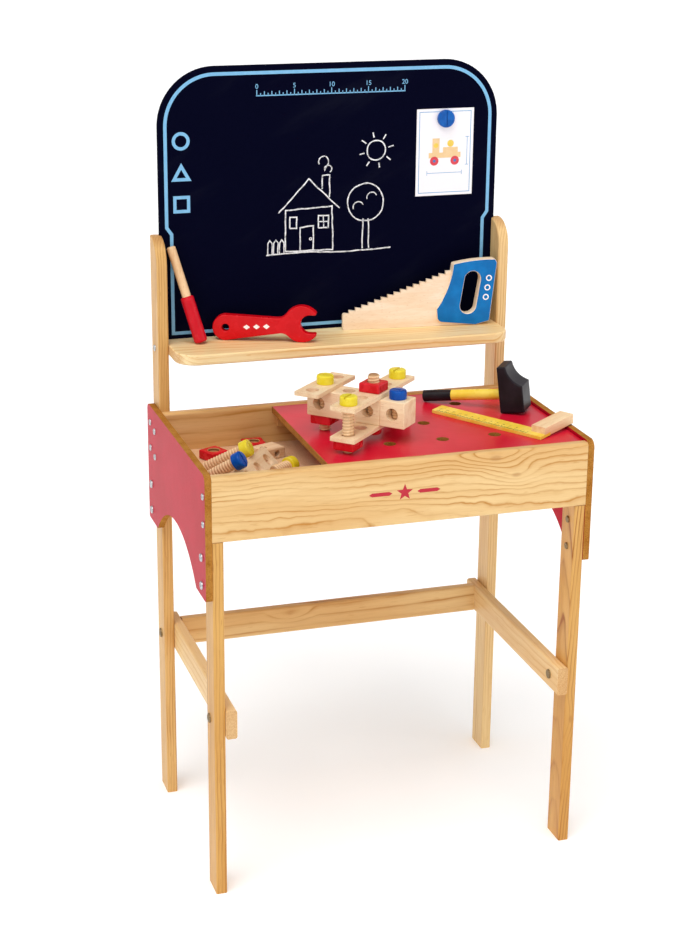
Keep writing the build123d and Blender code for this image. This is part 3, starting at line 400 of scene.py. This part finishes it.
def painted_face(name, direction, colour, light, light_wood, dark_wood):
    """Paint on the flat faces that look along a direction, and pale wood on the edges round them."""
    s = paint_coat(name)
    patches = s.noise(s.rest, 45.0, 3.0, 0.55)
    face = s.mix(s.span(patches, 0.3, 0.75), linear(colour), linear(light))
    lines = s.grain(s.rest, (30.0, 900.0, 900.0), 3.0, 0.6)
    layers = s.mix(s.span(lines, 0.35, 0.7), linear(light_wood), linear(dark_wood))
    facing = s.math("ABSOLUTE", s.vector("DOT_PRODUCT", s.normal, direction))
    ragged = s.math("ADD", facing, s.span(s.noise(s.rest, 500.0, 3.0, 0.6), 0.0, 1.0, -0.03, 0.03))
    share = s.span(ragged, 0.86, 0.94)
    peel = s.noise(s.rest, 650.0, 1.0, 0.5)
    rough = s.math("ADD", s.span(share, 0.0, 1.0, 0.58, 0.22), s.math("MULTIPLY", patches, 0.06))
    height = s.mix(share, lines, s.math("MULTIPLY", peel, 0.4))
    return s.finish(s.mix(share, layers, face), rough, height, 0.12, 0.0002)


def nut_paint(name, centre, colour, light):
    """Gloss paint outside and bare wood in the threaded hole about centre."""
    s = paint_coat(name)
    patches = s.noise(s.rest, 60.0, 3.0, 0.55)
    tint = s.mix(s.span(patches, 0.3, 0.75), linear(colour), linear(light))
    rubbed = rubbed_edges(s, s.edges(0.0007))
    tint = s.mix(s.math("MULTIPLY", rubbed, 0.45), tint, linear(BARE_WOOD))
    flat = s.vector("MULTIPLY", s.vector("SUBTRACT", s.rest, tuple(centre)), (1, 1, 0))
    hole = s.span(s.vector("LENGTH", flat), (NUT_BORE + 0.2) * MM, (NUT_BORE - 0.2) * MM)
    height = s.vector("DOT_PRODUCT", s.rest, AXES["Z"])
    turns = s.math("SINE", s.math("MULTIPLY", height, 2 * math.pi / (THREAD_PITCH * MM)))
    bare = s.mix(s.span(turns, -0.5, 0.8), linear("8A5A33"), linear("D8A672"))
    peel = s.noise(s.rest, 650.0, 1.0, 0.5)
    rough = s.math("ADD", s.span(patches, 0.3, 0.7, 0.22, 0.32), s.math("MULTIPLY", hole, 0.35))
    bumps = s.math("ADD", s.math("MULTIPLY", peel, 0.3), s.math("MULTIPLY", hole, turns))
    return s.finish(s.mix(hole, tint, bare), rough, bumps, 0.12, 0.0002)


# Finishes of the bench
PINE_PIECES = {
    # node: grain, way to the pith, width of a growth ring, strength of its line, shade, waviness
    "left_front_leg": ("Z", (70, 40, 0), 0.0034, 0.85, 1.0, 0.25),
    "right_front_leg": ("Z", (70, 4, 0), 0.0046, 1.2, 0.95, 0.3),
    "left_rear_post": ("Z", (60, -30, 0), 0.0036, 1.0, 0.75, 0.25),
    "right_rear_post": ("Z", (-75, 40, 0), 0.0036, 0.85, 0.25, 0.25),
    "left_side_rail": ("Y", (40, 0, -52), 0.006, 0.5, 0.0, 0.4),
    "right_side_rail": ("Y", (-50, 0, 28), 0.006, 0.5, -0.1, 0.4),
    "cross_rail": ("X", (0, 26, -90), 0.013, 1.0, 0.35, 0.4),
    "tool_shelf": ("X", (0, 30, -70), 0.0046, 0.8, -0.6, 0.4),
    "front_board": ("X", (0, 34, -44), 0.0062, 1.0, 0.2, 1.0),
    "rear_board": ("X", (0, -24, 60), 0.017, 1.0, 0.25, 0.8),
    "front_cleat": ("X", (0, 50, 30), 0.0042, 0.6, 0.4, 0.4),
    "rear_cleat": ("X", (0, -50, 40), 0.0042, 0.6, 0.4, 0.4),
}
# Slope of the pith line along the grain
LEANS = {
    "front_board": (0, 0.05, 0.03),
    "cross_rail": (0, 0.09, 0.03),
    "tool_shelf": (0, 0.06, 0.05),
    "right_front_leg": (0.07, 0.01, 0),
    "left_rear_post": (0.02, 0.02, 0),
}
# Place, radius and pull on the rings of each knot
KNOTS = {
    "front_board": (((118, -158, 548), 5.0, 15.0), ((146, -158, 524), 4.0, 11.0)),
    "left_rear_post": (((-234, 140, 470), 4.0, 9.0),),
    "right_front_leg": (((236, -158, 178), 3.5, 8.0),),
    "cross_rail": (((-60, 130, 243), 3.5, 9.0),),
}
for node, (grain, pith, ring, bold, shade, wavy) in PINE_PIECES.items():
    low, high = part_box(node)
    middle = (low + high) / 2 / MM
    lean = LEANS.get(node, (0, 0, 0))
    dress(pine("pine_" + node, grain, middle, pith, ring, bold, shade, wavy, lean, KNOTS.get(node, ())), node)
dress(faced_board("red_panel", "X", 0.03, "B60624", "C21230"), "left_side_panel", "right_side_panel")
dress(faced_board("red_worktop", "Z", 0.2, "CC0E2A", "D61C38"), "worktop")
dress(fibreboard("tray_fibreboard"), "tray_floor")
dress(chalk_surface("chalkboard_paint"), "chalkboard")
dress(steel("zinc", "D5D8DA", "A9ADB0", 0.24), "panel_screws", "panel_bolts", "shelf_screws", "cleat_screws")
dress(steel("aged_zinc", "A58E6C", "74603F", 0.42), "rail_bolts", "panel_nuts", "rail_nuts", "barrel_nuts")
dress(hardwood("dowel_beech", "X"), "shelf_dowels")

# Finishes of the tools
dress(paper("white_card"), "plan_card")
dress(paint("magnet_blue", "0B4F9E", "1668BE", "Y", wear=0.2), "magnet")
dress(paint("driver_red", "C80C20", "D81C2C", "Z"), "screwdriver_handle")
dress(hardwood("driver_beech", "Z", light="F5D3A6", dark="E5B888"), "screwdriver_shaft")
dress(paint("wrench_red", "CE0612", "DA141E", "X", WRENCH_YAW), "wrench")
dress(hardwood("saw_maple", "X", light="FCE9D2", dark="F3D6B4", fleck="DDB48A"), "saw_blade")
saw_turn = math.radians(SAW_YAW)
saw_facing = (math.sin(saw_turn), -math.cos(saw_turn), 0)
saw_blue = painted_face("saw_blue", saw_facing, "0068AE", "0578C2", "FBE8D0", "EBCBA6")
dress(saw_blue, "saw_front_cheek", "saw_rear_cheek")
dress(paint("hammer_black", "161116", "231C23", "Z", gloss=0.36, wear=0.25), "hammer_head")
dress(paint("hammer_yellow", "F0CE40", "F7DE62", "X", HAMMER_YAW), "hammer_handle")
dress(paint("grip_black", "161317", "242126", "X", HAMMER_YAW, gloss=0.4, wear=0.1, coat=0.05), "hammer_grip")
dress(paint("square_yellow", "F0C93F", "F6DA67", "X", SQUARE_YAW, wear=0.3), "square_blade")
dress(hardwood("square_beech", "Y", SQUARE_YAW, light="F8DCB0", dark="EBC08E"), "square_stock")

# Finishes of the construction kit
dress(hardwood("kit_body", "X", PLANE_YAW), "plane_fuselage", "plane_nose_block", "plane_nose_dowel")
dress(hardwood("kit_wings", "Y", PLANE_YAW), "plane_upper_wing", "plane_lower_wing", "plane_tail")
dress(hardwood("kit_block", "X", BLOCK_YAW, dark="CF9F70"), "loose_block")
dress(hardwood("kit_strip", "X", STRIP_YAW), "loose_strip")
KIT_RED = ("C5101C", "DB2631")
for node in ("plane_front_nut", "plane_rear_nut", "plane_tail_nut", "plane_top_nut", "loose_nut_left",
             "loose_nut_rear"):
    low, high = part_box(node)
    dress(nut_paint("paint_" + node, (low + high) / 2, *KIT_RED), node)


def added(name, data):
    """New object in the scene."""
    item = bpy.data.objects.new(name, data)
    bpy.context.scene.collection.objects.link(item)
    return item


def meshed(shape, name):
    """Mesh from a bmesh, which is freed."""
    mesh = bpy.data.meshes.new(name)
    shape.to_mesh(mesh)
    shape.free()
    return mesh


def evaluated(item):
    """Mesh of an object with its modifiers applied, or of a text."""
    bpy.context.view_layer.update()
    return bpy.data.meshes.new_from_object(item.evaluated_get(bpy.context.evaluated_depsgraph_get()))


def piece(name, mesh, body, material, place=None):
    """New object that rides on a body."""
    item = added(name, mesh)
    mesh.materials.append(material)
    if place is not None:
        item.matrix_world = place
    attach(item, body)
    return item


def move(x, y, z):
    return Matrix.Translation((x * MM, y * MM, z * MM))


def turn(angle, axis="Z"):
    return Matrix.Rotation(math.radians(angle), 4, axis)


def on_circle(x, y, radius, angle):
    return (x + radius * math.cos(math.radians(angle)), y + radius * math.sin(math.radians(angle)))


def arc(x, y, radius, start, end, steps):
    return [on_circle(x, y, radius, start + (end - start) * i / steps) for i in range(steps + 1)]


def circle(x, y, radius, steps=48):
    return arc(x, y, radius, 0, 360, steps)[:-1]


def about_z(radius, angle, height):
    return (radius * MM * math.cos(angle), radius * MM * math.sin(angle), height * MM)


def lathe(outline, steps, name):
    """Closed turned mesh from (radius, height) points that start and end on the axis."""
    shape = bmesh.new()
    angles = [2 * math.pi * i / steps for i in range(steps)]
    rows = []
    for radius, height in outline:
        around = angles if radius else [0.0]
        rows.append([shape.verts.new(about_z(radius, angle, height)) for angle in around])
    for low, high in zip(rows, rows[1:]):
        for i in range(steps):
            k = (i + 1) % steps
            ring = [low[0]] if len(low) == 1 else [low[i], low[k]]
            ring += [high[0]] if len(high) == 1 else [high[k], high[i]]
            shape.faces.new(ring)
    bmesh.ops.recalc_face_normals(shape, faces=shape.faces)
    return meshed(shape, name)


def bolt_head(name, length):
    """Round head with a soft upper edge and a slot across it."""
    top = length + HEAD_HEIGHT
    rim = arc(HEAD_RADIUS - HEAD_ROUND, top - HEAD_ROUND, HEAD_ROUND, 0, 90, 6)
    outline = [(0, length), (HEAD_RADIUS - 0.5, length), (HEAD_RADIUS, length + 0.5)] + rim + [(0, top)]
    disc = added(name, lathe(outline, 64, name))
    cutter = bmesh.new()
    size = (3 * HEAD_RADIUS * MM, SLOT_WIDTH * MM, 2 * SLOT_DEPTH * MM, 1)
    bmesh.ops.create_cube(cutter, size=1.0, matrix=move(0, 0, top) @ Matrix.Diagonal(size))
    tool = added("slot_tool", meshed(cutter, "slot_tool"))
    cut = disc.modifiers.new("slot", "BOOLEAN")
    cut.object = tool
    cut.operation = "DIFFERENCE"
    soft = disc.modifiers.new("soft", "BEVEL")
    soft.width = 0.35 * MM
    soft.segments = 2
    soft.limit_method = "ANGLE"
    soft.angle_limit = math.radians(50)
    mesh = evaluated(disc)
    for item in (disc, tool):
        bpy.data.objects.remove(item)
    shape = bmesh.new()
    shape.from_mesh(mesh)
    bmesh.ops.remove_doubles(shape, verts=shape.verts, dist=0.02 * MM)
    bmesh.ops.dissolve_degenerate(shape, edges=shape.edges, dist=0.01 * MM)
    shape.to_mesh(mesh)
    shape.free()
    mesh.shade_smooth()
    mesh.set_sharp_from_angle(angle=math.radians(35))
    mesh.name = name
    return mesh


def bolt_thread(name, length):
    """Shank with a V thread that winds up it, run out and chamfered at the tip."""
    steps = 48
    rows_per_turn = 8
    flank = 0.42
    flat_crest = 1.25
    run_out = 2.2
    chamfer = 1.2
    chamfer_slope = 0.8
    rows = round(length / THREAD_PITCH * rows_per_turn)
    shape = bmesh.new()
    loops = []
    for r in range(rows + 1):
        height = length * r / rows
        root = BOLT_RADIUS - THREAD_DEPTH - max(0.0, chamfer - height) * chamfer_slope
        rise = THREAD_DEPTH * min(1.0, height / run_out)
        loop = []
        for i in range(steps):
            share = (height / THREAD_PITCH - i / steps) % 1.0
            crest = min(1.0, max(0.0, 1.0 - abs(share - 0.5) / flank) * flat_crest)
            loop.append(shape.verts.new(about_z(root + rise * crest, 2 * math.pi * i / steps, height)))
        loops.append(loop)
    for low, high in zip(loops, loops[1:]):
        for i in range(steps):
            k = (i + 1) % steps
            shape.faces.new((low[i], low[k], high[k], high[i]))
    shape.faces.new(list(reversed(loops[0])))
    shape.faces.new(loops[-1])
    mesh = meshed(shape, name)
    mesh.shade_smooth()
    mesh.set_sharp_from_angle(angle=math.radians(50))
    return mesh


# The aeroplane's middle bolt on the worktop, and the heights of its wings above it
PLANE = move(-8.0, -57.5, WORKTOP_TOP) @ turn(PLANE_YAW)
WINGS = PLANE @ turn(90)
LOWER_WING = 17.0
UPPER_WING = 56.0
KIT_MODULE = 34.0
# Rear end of the loose strip on the tray's floor, and the height of its raised edge
STRIP = move(-130.9, 13.1, TRAY_TOP + REST_GAP) @ turn(STRIP_YAW)
STRIP_EDGE = 27.93
# Middle of the head of the bolt that lies on the tray's floor
TRAY_BOLT = move(-105.0, -22.5, TRAY_TOP + REST_GAP + HEAD_RADIUS) @ turn(TRAY_BOLT_YAW)


def head_first(length):
    """Bolt laid along X with the middle of its head on the origin."""
    return turn(-90, "Y") @ move(0, 0, -length - HEAD_HEIGHT / 2)


def leaning(along, way, radius, back):
    """Long bolt with its tip on the tray's floor, laid over the raised edge of the strip.

    along is the distance down the edge and way the turn from it. What lies on the edge has a radius, and is back
    from the middle of the head.
    """
    reach = BOLT_LENGTH + HEAD_HEIGHT / 2 - back
    above = radius + REST_GAP
    step = above - BOLT_RADIUS + THREAD_DEPTH
    lean = math.asin(STRIP_EDGE / math.hypot(reach, step)) + math.atan2(step, reach)
    over = STRIP @ move(-along, 0, STRIP_EDGE) @ turn(way) @ turn(math.degrees(lean), "Y")
    return over @ move(-back, 0, above) @ head_first(BOLT_LENGTH)


bolt_wood = hardwood("bolt_beech", "Z", light="F2CFA2", dark="DDAE7C", fleck="C08A5A",
                     root=(BOLT_RADIUS - 0.5) * MM)
yellow = paint("bolt_yellow", "E2CC22", "EEDC4A", "Z", wear=0.35)
blue = paint("bolt_blue", "00429C", "0858B2", "Z", wear=0.35)
red = paint("bolt_red", *KIT_RED, "Z", wear=0.35)
BOLTS = (
    # name, node, body, length, head, place
    ("wing_bolt_front", "plane_bolts", "plane", BOLT_LENGTH, yellow, WINGS @ move(-2 * KIT_MODULE, 0, 0)),
    ("wing_bolt_rear", "plane_bolts", "plane", BOLT_LENGTH, yellow, WINGS @ move(2 * KIT_MODULE, 0, 0)),
    ("tail_bolt", "plane_bolts", "plane", BOLT_LENGTH, yellow, PLANE @ move(-2 * KIT_MODULE, 0, 0)),
    ("middle_bolt", "plane_middle_bolt", "plane", MIDDLE_BOLT_LENGTH, red,
     PLANE @ move(0, 0, LOWER_WING) @ turn(180, "X") @ move(0, 0, -MIDDLE_BOLT_LENGTH)),
    ("nose_bolt", "plane_nose_bolt", "nose_bolt", SHORT_BOLT_LENGTH, blue,
     PLANE @ move(KIT_MODULE, 0, UPPER_WING - SHORT_BOLT_LENGTH)),
    ("tray_left_bolt", "loose_left_bolt", "spare_left_bolt", BOLT_LENGTH, yellow,
     leaning(47, 95, HEAD_RADIUS, 0)),
    ("tray_blue_bolt", "loose_blue_bolt", "spare_blue_bolt", BOLT_LENGTH, blue,
     leaning(103, 90, BOLT_RADIUS, HEAD_HEIGHT / 2 + 6)),
    ("tray_yellow_bolt", "loose_yellow_bolt", "spare_yellow_bolt", SHORT_BOLT_LENGTH, yellow,
     TRAY_BOLT @ head_first(SHORT_BOLT_LENGTH)),
)
for name, node, body, length, finish, place in BOLTS:
    thread = piece(name + "_thread", bolt_thread(name + "_thread", length), body, bolt_wood, place)
    head = piece(name + "_head", bolt_head(name + "_head", length), body, finish, place)
    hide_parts(node)
    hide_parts(node)


# Prints, as thin films on the faces that carry them
class Film:
    """Flat shapes of one colour on a plane, drawn in millimetres and raised by the film's thickness."""

    def __init__(self, place, thickness):
        self.shape = bmesh.new()
        self.place = place
        self.rise = thickness

    def point(self, x, y, up):
        return self.shape.verts.new(self.place @ Vector((x * MM, y * MM, (self.rise if up else 0.0) * MM)))

    def fill(self, outline):
        """Solid shape inside a closed outline."""
        top = [self.point(x, y, True) for x, y in outline]
        low = [self.point(x, y, False) for x, y in outline]
        self.shape.faces.new(top)
        self.shape.faces.new(list(reversed(low)))
        for i in range(len(top)):
            k = (i + 1) % len(top)
            self.shape.faces.new((low[i], low[k], top[k], top[i]))

    def line(self, points, width, closed=False, widths=None):
        """Strip of a width along a line of points, mitred at its corners."""
        count = len(points)
        spots = [Vector(p) for p in points]
        sides = []
        for i, spot in enumerate(spots):
            before = spots[i - 1] if closed or i > 0 else None
            after = spots[(i + 1) % count] if closed or i < count - 1 else None
            ends = [(a, b) for a, b in ((before, spot), (spot, after)) if a is not None and b is not None]
            ways = [(b - a).normalized() for a, b in ends]
            normals = [Vector((-way.y, way.x)) for way in ways]
            middle = sum(normals, Vector((0, 0))).normalized()
            half = (widths[i] if widths else width) / 2 / max(0.45, middle.dot(normals[0]))
            sides.append((spot + middle * half, spot - middle * half))
        rows = []
        for left, right in sides:
            rows.append((self.point(*left, False), self.point(*left, True), self.point(*right, True),
                         self.point(*right, False)))
        for i in range(count if closed else count - 1):
            a = rows[i]
            b = rows[(i + 1) % count]
            for k in range(4):
                n = (k + 1) % 4
                self.shape.faces.new((a[k], a[n], b[n], b[k]))
        if not closed:
            self.shape.faces.new(rows[0])
            self.shape.faces.new(tuple(reversed(rows[-1])))

    def digits(self, text, x, y, size):
        """Plain number, centred on x with its foot on y."""
        curve = bpy.data.curves.new("digits", "FONT")
        curve.body = text
        curve.size = size
        curve.align_x = "CENTER"
        # Any depth will do, since only the side that a point is on counts
        curve.extrude = 0.01
        item = added("digits", curve)
        solid = evaluated(item)
        bpy.data.objects.remove(item)
        for face in solid.polygons:
            spots = [solid.vertices[v].co for v in face.vertices]
            self.shape.faces.new([self.point(x + p.x, y + p.y, p.z > 0) for p in spots])

    def done(self, name, body, material):
        bmesh.ops.remove_doubles(self.shape, verts=self.shape.verts, dist=1e-7)
        bmesh.ops.recalc_face_normals(self.shape, faces=self.shape.faces)
        piece(name, meshed(self.shape, name), body, material)


def upright(y):
    """Plane that faces the front: its x is the bench's x and its y is height."""
    return move(0, y, 0) @ turn(90, "X")


# Front faces of the chalkboard and the card, and the thickness of the prints and the chalk
BOARD_FACE = 151.0
CARD_FACE = 150.5
BOARD_PRINT = 0.15
CHALK = 0.12
CARD_PRINT = 0.08
RED_PRINT = 0.12
WHITE_PRINT = 0.1
SCALE_PRINT = 0.06
print_blue = ink("board_print", "6EB0DC", "8CC3E6")

# Border line of the board, stepped in above the posts
border = Film(upright(BOARD_FACE), BOARD_PRINT)
right_half = [(214.3, 651.5), (214.3, 782.5), (220.5, 791.5)] + arc(155.5, 920, 65, 0, 90, 24)
left_half = [(-x, z) for x, z in reversed(right_half)]
border.line(right_half + left_half, 4.4, closed=True)
border.done("board_border", "board", print_blue)

# Measuring scale along the top of the board
SCALE_FOOT = 956
scale = Film(upright(BOARD_FACE), BOARD_PRINT)
scale.line([(-101, SCALE_FOOT), (101, SCALE_FOOT)], 1.4)
for i in range(41):
    x = -100 + 5 * i
    tall = 7.5 if i % 10 == 0 else 5.5 if i % 2 == 0 else 3.2
    scale.line([(x, SCALE_FOOT), (x, SCALE_FOOT + tall)], 1.1)
for i in range(5):
    scale.digits(str(5 * i), -100 + 50 * i, SCALE_FOOT + 9, 8.5)
scale.done("board_scale", "board", print_blue)

# Plain shapes down the left side of the board
shapes = Film(upright(BOARD_FACE), BOARD_PRINT)
shapes.line(circle(-200.3, 902, 9.6), 4.2, closed=True)
shapes.line([(-210, 853), (-190.6, 853), (-200.3, 870)], 4.2, closed=True)
shapes.line([(-209.3, 812), (-191.3, 812), (-191.3, 830), (-209.3, 830)], 4.2, closed=True)
shapes.done("board_shapes", "board", print_blue)

# Chalk drawing: a house, a tree and the sun
drawing = Film(upright(BOARD_FACE), CHALK)


def chalk_line(points, width=1.7, closed=False):
    """Hand-drawn line: short steps that wander a little and change in width."""
    spots = list(points) + [points[0]] * closed
    path = []
    for (ax, ay), (bx, by) in zip(spots, spots[1:]):
        steps = max(1, round(math.hypot(bx - ax, by - ay) / 2.0))
        path += [(ax + (bx - ax) * i / steps, ay + (by - ay) * i / steps) for i in range(steps)]
    path.append(spots[-1])
    shake = 0.9
    shaken = []
    widths = []
    for x, y in path:
        aside = [shake * noise.noise((x * 0.09, y * 0.09, seed)) for seed in (1.7, 8.3)]
        shaken.append((x + aside[0], y + aside[1]))
        widths.append(width * (1.0 + 0.35 * noise.noise((x * 0.4, y * 0.4, 4.1))))
    drawing.line(shaken, width, widths=widths)


chalk_line([(-62, 752), (-62, 806), (2, 809), (3, 751)], closed=True)
chalk_line([(-71, 803), (-30, 846), (12, 806)])
chalk_line([(-12, 832), (-12, 850), (-2, 850), (-2, 821)])
chalk_line([(-42, 752), (-42, 783), (-24, 784), (-24, 752)])
chalk_line(circle(-28, 767, 1.6, 10), 1.2, True)
chalk_line([(-17, 781), (-17, 797), (-3, 797), (-3, 781)], closed=True)
chalk_line([(-10, 781), (-10, 797)], 1.3)
chalk_line([(-17, 789), (-3, 789)], 1.3)
chalk_line([(-56, 782), (-56, 797), (-47, 797), (-47, 782)], closed=True)
chalk_line([(44, 750), (45, 790)])
chalk_line([(53, 750), (52, 790)])
chalk_line(arc(48, 812, 25, -110, 250, 26))
chalk_line(arc(38, 806, 7, 20, 200, 8), 1.3)
chalk_line(arc(57, 818, 7, 20, 200, 8), 1.3)
SUN = (62, 880)
chalk_line(circle(*SUN, 13, 30), closed=True)
for i in range(8):
    chalk_line([on_circle(*SUN, radius, 45 * i + 12) for radius in (17, 24)])
chalk_line(arc(-4, 858, 5, -60, 200, 10) + arc(-10, 868, 7, -40, 210, 12), 1.4)
chalk_line([(-88, 748), (-40, 750), (20, 747), (84, 749)])
for x in (-86, -78, -70):
    chalk_line([(x, 749), (x, 764), (x + 3, 768), (x + 6, 764), (x + 6, 749)], 1.4)
drawing.done("chalk_drawing", "board", chalk("chalk_white"))

# Plan card: a plain frame, dimension lines and a cart made of coloured shapes
card_blue = ink("card_blue", "5F9FCE", "7DB4DB")
lines = Film(upright(CARD_FACE), CARD_PRINT)
lines.line([(121.5, 820), (193.5, 820), (193.5, 927), (121.5, 927)], 0.9, closed=True)
lines.line([(133, 846), (182, 846)], 0.7)
for x in (133, 182):
    lines.line([(x, 843), (x, 849)], 0.7)
lines.line([(189, 856), (189, 893)], 0.7)
for z in (856, 893):
    lines.line([(186.5, z), (191.5, z)], 0.7)
lines.done("card_lines", "card", card_blue)
cart = Film(upright(CARD_FACE), CARD_PRINT)
cart.fill([(135, 866), (180, 866), (180, 873), (135, 873)])
cart.fill([(140, 873), (150, 873), (150, 892), (140, 892)])
cart.fill([(155, 873), (176, 873), (176, 880), (155, 880)])
cart.done("card_wood", "card", ink("card_beech", "EBC48C", "F3D7AB"))
CARD_DISCS = (
    # name, colours, thickness, and the middle and radius of each disc
    ("card_red", "D42C3C", "E25561", 0.1, ((143, 862, 6.0), (172, 862, 6.0))),
    ("card_yellow", "EBC53B", "F4DA70", 0.1, ((145, 882.5, 3.2), (165.5, 884.8, 4.6))),
    ("card_blue_dots", "2A6CB0", "4C8CCB", 0.16, ((143, 862, 2.0), (172, 862, 2.0))),
)
for name, colour, light, thickness, spots in CARD_DISCS:
    dots = Film(upright(CARD_FACE), thickness)
    for x, z, radius in spots:
        dots.fill(circle(x, z, radius, 36))
    dots.done(name, "card", ink(name, colour, light))

# Plain red star between two bars on the front board
low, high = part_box("front_board")
BOARD_MIDDLE = (low.z + high.z) / 2 / MM
BAR = ((16, 0), (20, -2.4), (42, -2.4), (46, 0), (42, 2.4), (20, 2.4))
star = Film(upright(low.y / MM), RED_PRINT)
star.fill([on_circle(0, BOARD_MIDDLE, 4.6 if i % 2 else 11.0, 90 + 36 * i) for i in range(10)])
for side in (-1, 1):
    star.fill([(side * x, BOARD_MIDDLE + y) for x, y in BAR])
star.done("front_star", "bench", ink("print_red", "B80A26", "C41C36"))


def on_shelf(x, y, yaw):
    """Front face of a tool that stands on the shelf: x runs along the tool and y is height."""
    return move(x, y, SHELF_TOP + REST_GAP) @ turn(yaw) @ turn(90, "X")


# White diamonds on the wrench and white rings on the saw
WRENCH = on_shelf(-151.0, 125.5, WRENCH_YAW)
SAW = on_shelf(12.2, 130.5, SAW_YAW)
white = ink("print_white", "F6F3EE", "FFFFFF")
marks = Film(WRENCH, WHITE_PRINT)
for x in (28, 41, 54):
    y = 17 + 0.057 * x
    marks.fill([(x - 4.5, y), (x, y - 3.4), (x + 4.5, y), (x, y + 3.4)])
marks.done("wrench_marks", "spanner", white)
rings = Film(SAW, WHITE_PRINT)
for x, y in ((196.0, 38), (197.8, 51), (199.6, 64)):
    rings.line(circle(x, y, 3.4, 28), 1.5, closed=True)
rings.done("saw_rings", "saw", white)

# Scale of the set square, along the outer edge of its blade. Its stock lies on the right panel, so it is tipped
SQUARE_THICKNESS = 4.0
SQUARE_RISE = 4.3
SQUARE_FROM_PANEL = 51.0
SQUARE_REACH = SQUARE_FROM_PANEL / math.sin(math.radians(SQUARE_YAW))
SQUARE_TIP = math.degrees(math.atan2(SQUARE_RISE, SQUARE_REACH))
SQUARE = move(190.5, -127.0, WORKTOP_TOP + REST_GAP) @ turn(SQUARE_YAW) @ turn(-SQUARE_TIP, "X")
SCALE_START = 24
TICK_FOOT = -0.9
ticks = Film(SQUARE @ move(0, 0, SQUARE_THICKNESS), SCALE_PRINT)
for i in range(143):
    x = SCALE_START + i
    tall = 6.0 if i % 10 == 0 else 4.6 if i % 5 == 0 else 3.0
    ticks.line([(x, TICK_FOOT), (x, TICK_FOOT - tall)], 0.42 if i % 5 == 0 else 0.3)
for i in range(1, 15):
    ticks.digits(str(i), SCALE_START + 10 * i, -11.5, 4.2)
ticks.done("square_scale", "set_square", ink("scale_black", "1C1A1C", "2D2A2C"))


# Room: pale floor, soft light, and the camera
WHITE = (1.0, 1.0, 1.0, 1.0)


def stage_floor():
    """Wide pale floor that glows a little, so that shadows on it stay light."""
    shape = bmesh.new()
    bmesh.ops.create_grid(shape, x_segments=8, y_segments=8, size=30.0)
    mesh = meshed(shape, "floor")
    item = added("floor", mesh)
    s = Shader("floor_pale", Specular_IOR_Level=0.1, Emission_Color=WHITE, Emission_Strength=0.18)
    tone = s.noise(s.rest, 3.0, 3.0, 0.5)
    colour = s.mix(s.span(tone, 0.3, 0.7), linear("FBFBFB"), linear("F6F6F6"))
    mesh.materials.append(s.finish(colour, s.span(tone, 0.2, 0.8, 0.85, 0.95)))


def soft_light(name, spot, aim, size, power):
    """Round lamp at a spot, in metres, turned to another."""
    lamp = bpy.data.lights.new(name, "AREA")
    lamp.shape = "DISK"
    lamp.size = size
    lamp.energy = power
    way = (Vector(aim) - Vector(spot)).to_track_quat("-Z", "Y")
    added(name, lamp).matrix_world = Matrix.Translation(spot) @ way.to_matrix().to_4x4()


def sun_light(name, way, spread, strength):
    """Wide soft light from far away, so that the floor is lit evenly."""
    lamp = bpy.data.lights.new(name, "SUN")
    lamp.angle = math.radians(spread)
    lamp.energy = strength
    added(name, lamp).matrix_world = Vector(way).to_track_quat("Z", "Y").to_matrix().to_4x4()


def studio_world():
    """Even white surroundings, brighter round the horizon than overhead."""
    world = bpy.data.worlds.new("studio")
    world.use_nodes = True
    tree = world.node_tree
    place = tree.nodes.new("ShaderNodeTexCoord")
    split = tree.nodes.new("ShaderNodeSeparateXYZ")
    fade = tree.nodes.new("ShaderNodeMapRange")
    for key, value in {"From Min": 0.12, "From Max": 0.4, "To Min": 1.0, "To Max": 0.5}.items():
        fade.inputs[key].default_value = value
    tree.links.new(place.outputs["Generated"], split.inputs["Vector"])
    tree.links.new(split.outputs["Z"], fade.inputs["Value"])
    tree.links.new(fade.outputs["Result"], tree.nodes["Background"].inputs["Strength"])
    tree.nodes["Background"].inputs["Color"].default_value = WHITE
    bpy.context.scene.world = world


# Camera fitted to the photograph: its size, focal length and middle in pixels, its place and its angles
PHOTO_WIDTH = 700.0
PHOTO_HEIGHT = 930.0
FOCAL_LENGTH = 1919.95
LENS_MIDDLE = (332.84, 454.59)
CAMERA_SPOT = (-747.47, -2231.38, 1291.83)
CAMERA_ANGLES = (17.54, -18.32, 0.46)
SENSOR = 36.0


def photo_camera():
    yaw, pitch, roll = (math.radians(a) for a in CAMERA_ANGLES)
    ahead = Vector((math.sin(yaw) * math.cos(pitch), math.cos(yaw) * math.cos(pitch), math.sin(pitch)))
    level = Vector((math.cos(yaw), -math.sin(yaw), 0))
    over = level.cross(ahead)
    right = level * math.cos(roll) + over * math.sin(roll)
    up = over * math.cos(roll) - level * math.sin(roll)
    lens = bpy.data.cameras.new("photo_camera")
    lens.sensor_width = SENSOR
    lens.lens = FOCAL_LENGTH * SENSOR / PHOTO_HEIGHT
    lens.shift_x = (PHOTO_WIDTH / 2 - LENS_MIDDLE[0]) / PHOTO_HEIGHT
    lens.shift_y = (LENS_MIDDLE[1] - PHOTO_HEIGHT / 2) / PHOTO_HEIGHT
    lens.clip_end = 100.0
    item = added("photo_camera", lens)
    item.matrix_world = move(*CAMERA_SPOT) @ Matrix((right, up, -ahead)).transposed().to_4x4()
    bpy.context.scene.camera = item


stage_floor()
sun_light("key", way=(-0.3, -0.4, 1.0), spread=50.0, strength=1.9)
soft_light("fill", spot=(2.6, -1.8, 1.7), aim=(0.0, 0.0, 0.5), size=2.2, power=9.0)
studio_world()
bpy.context.scene.view_settings.view_transform = "Standard"
bpy.context.scene.view_settings.look = "None"
photo_camera()
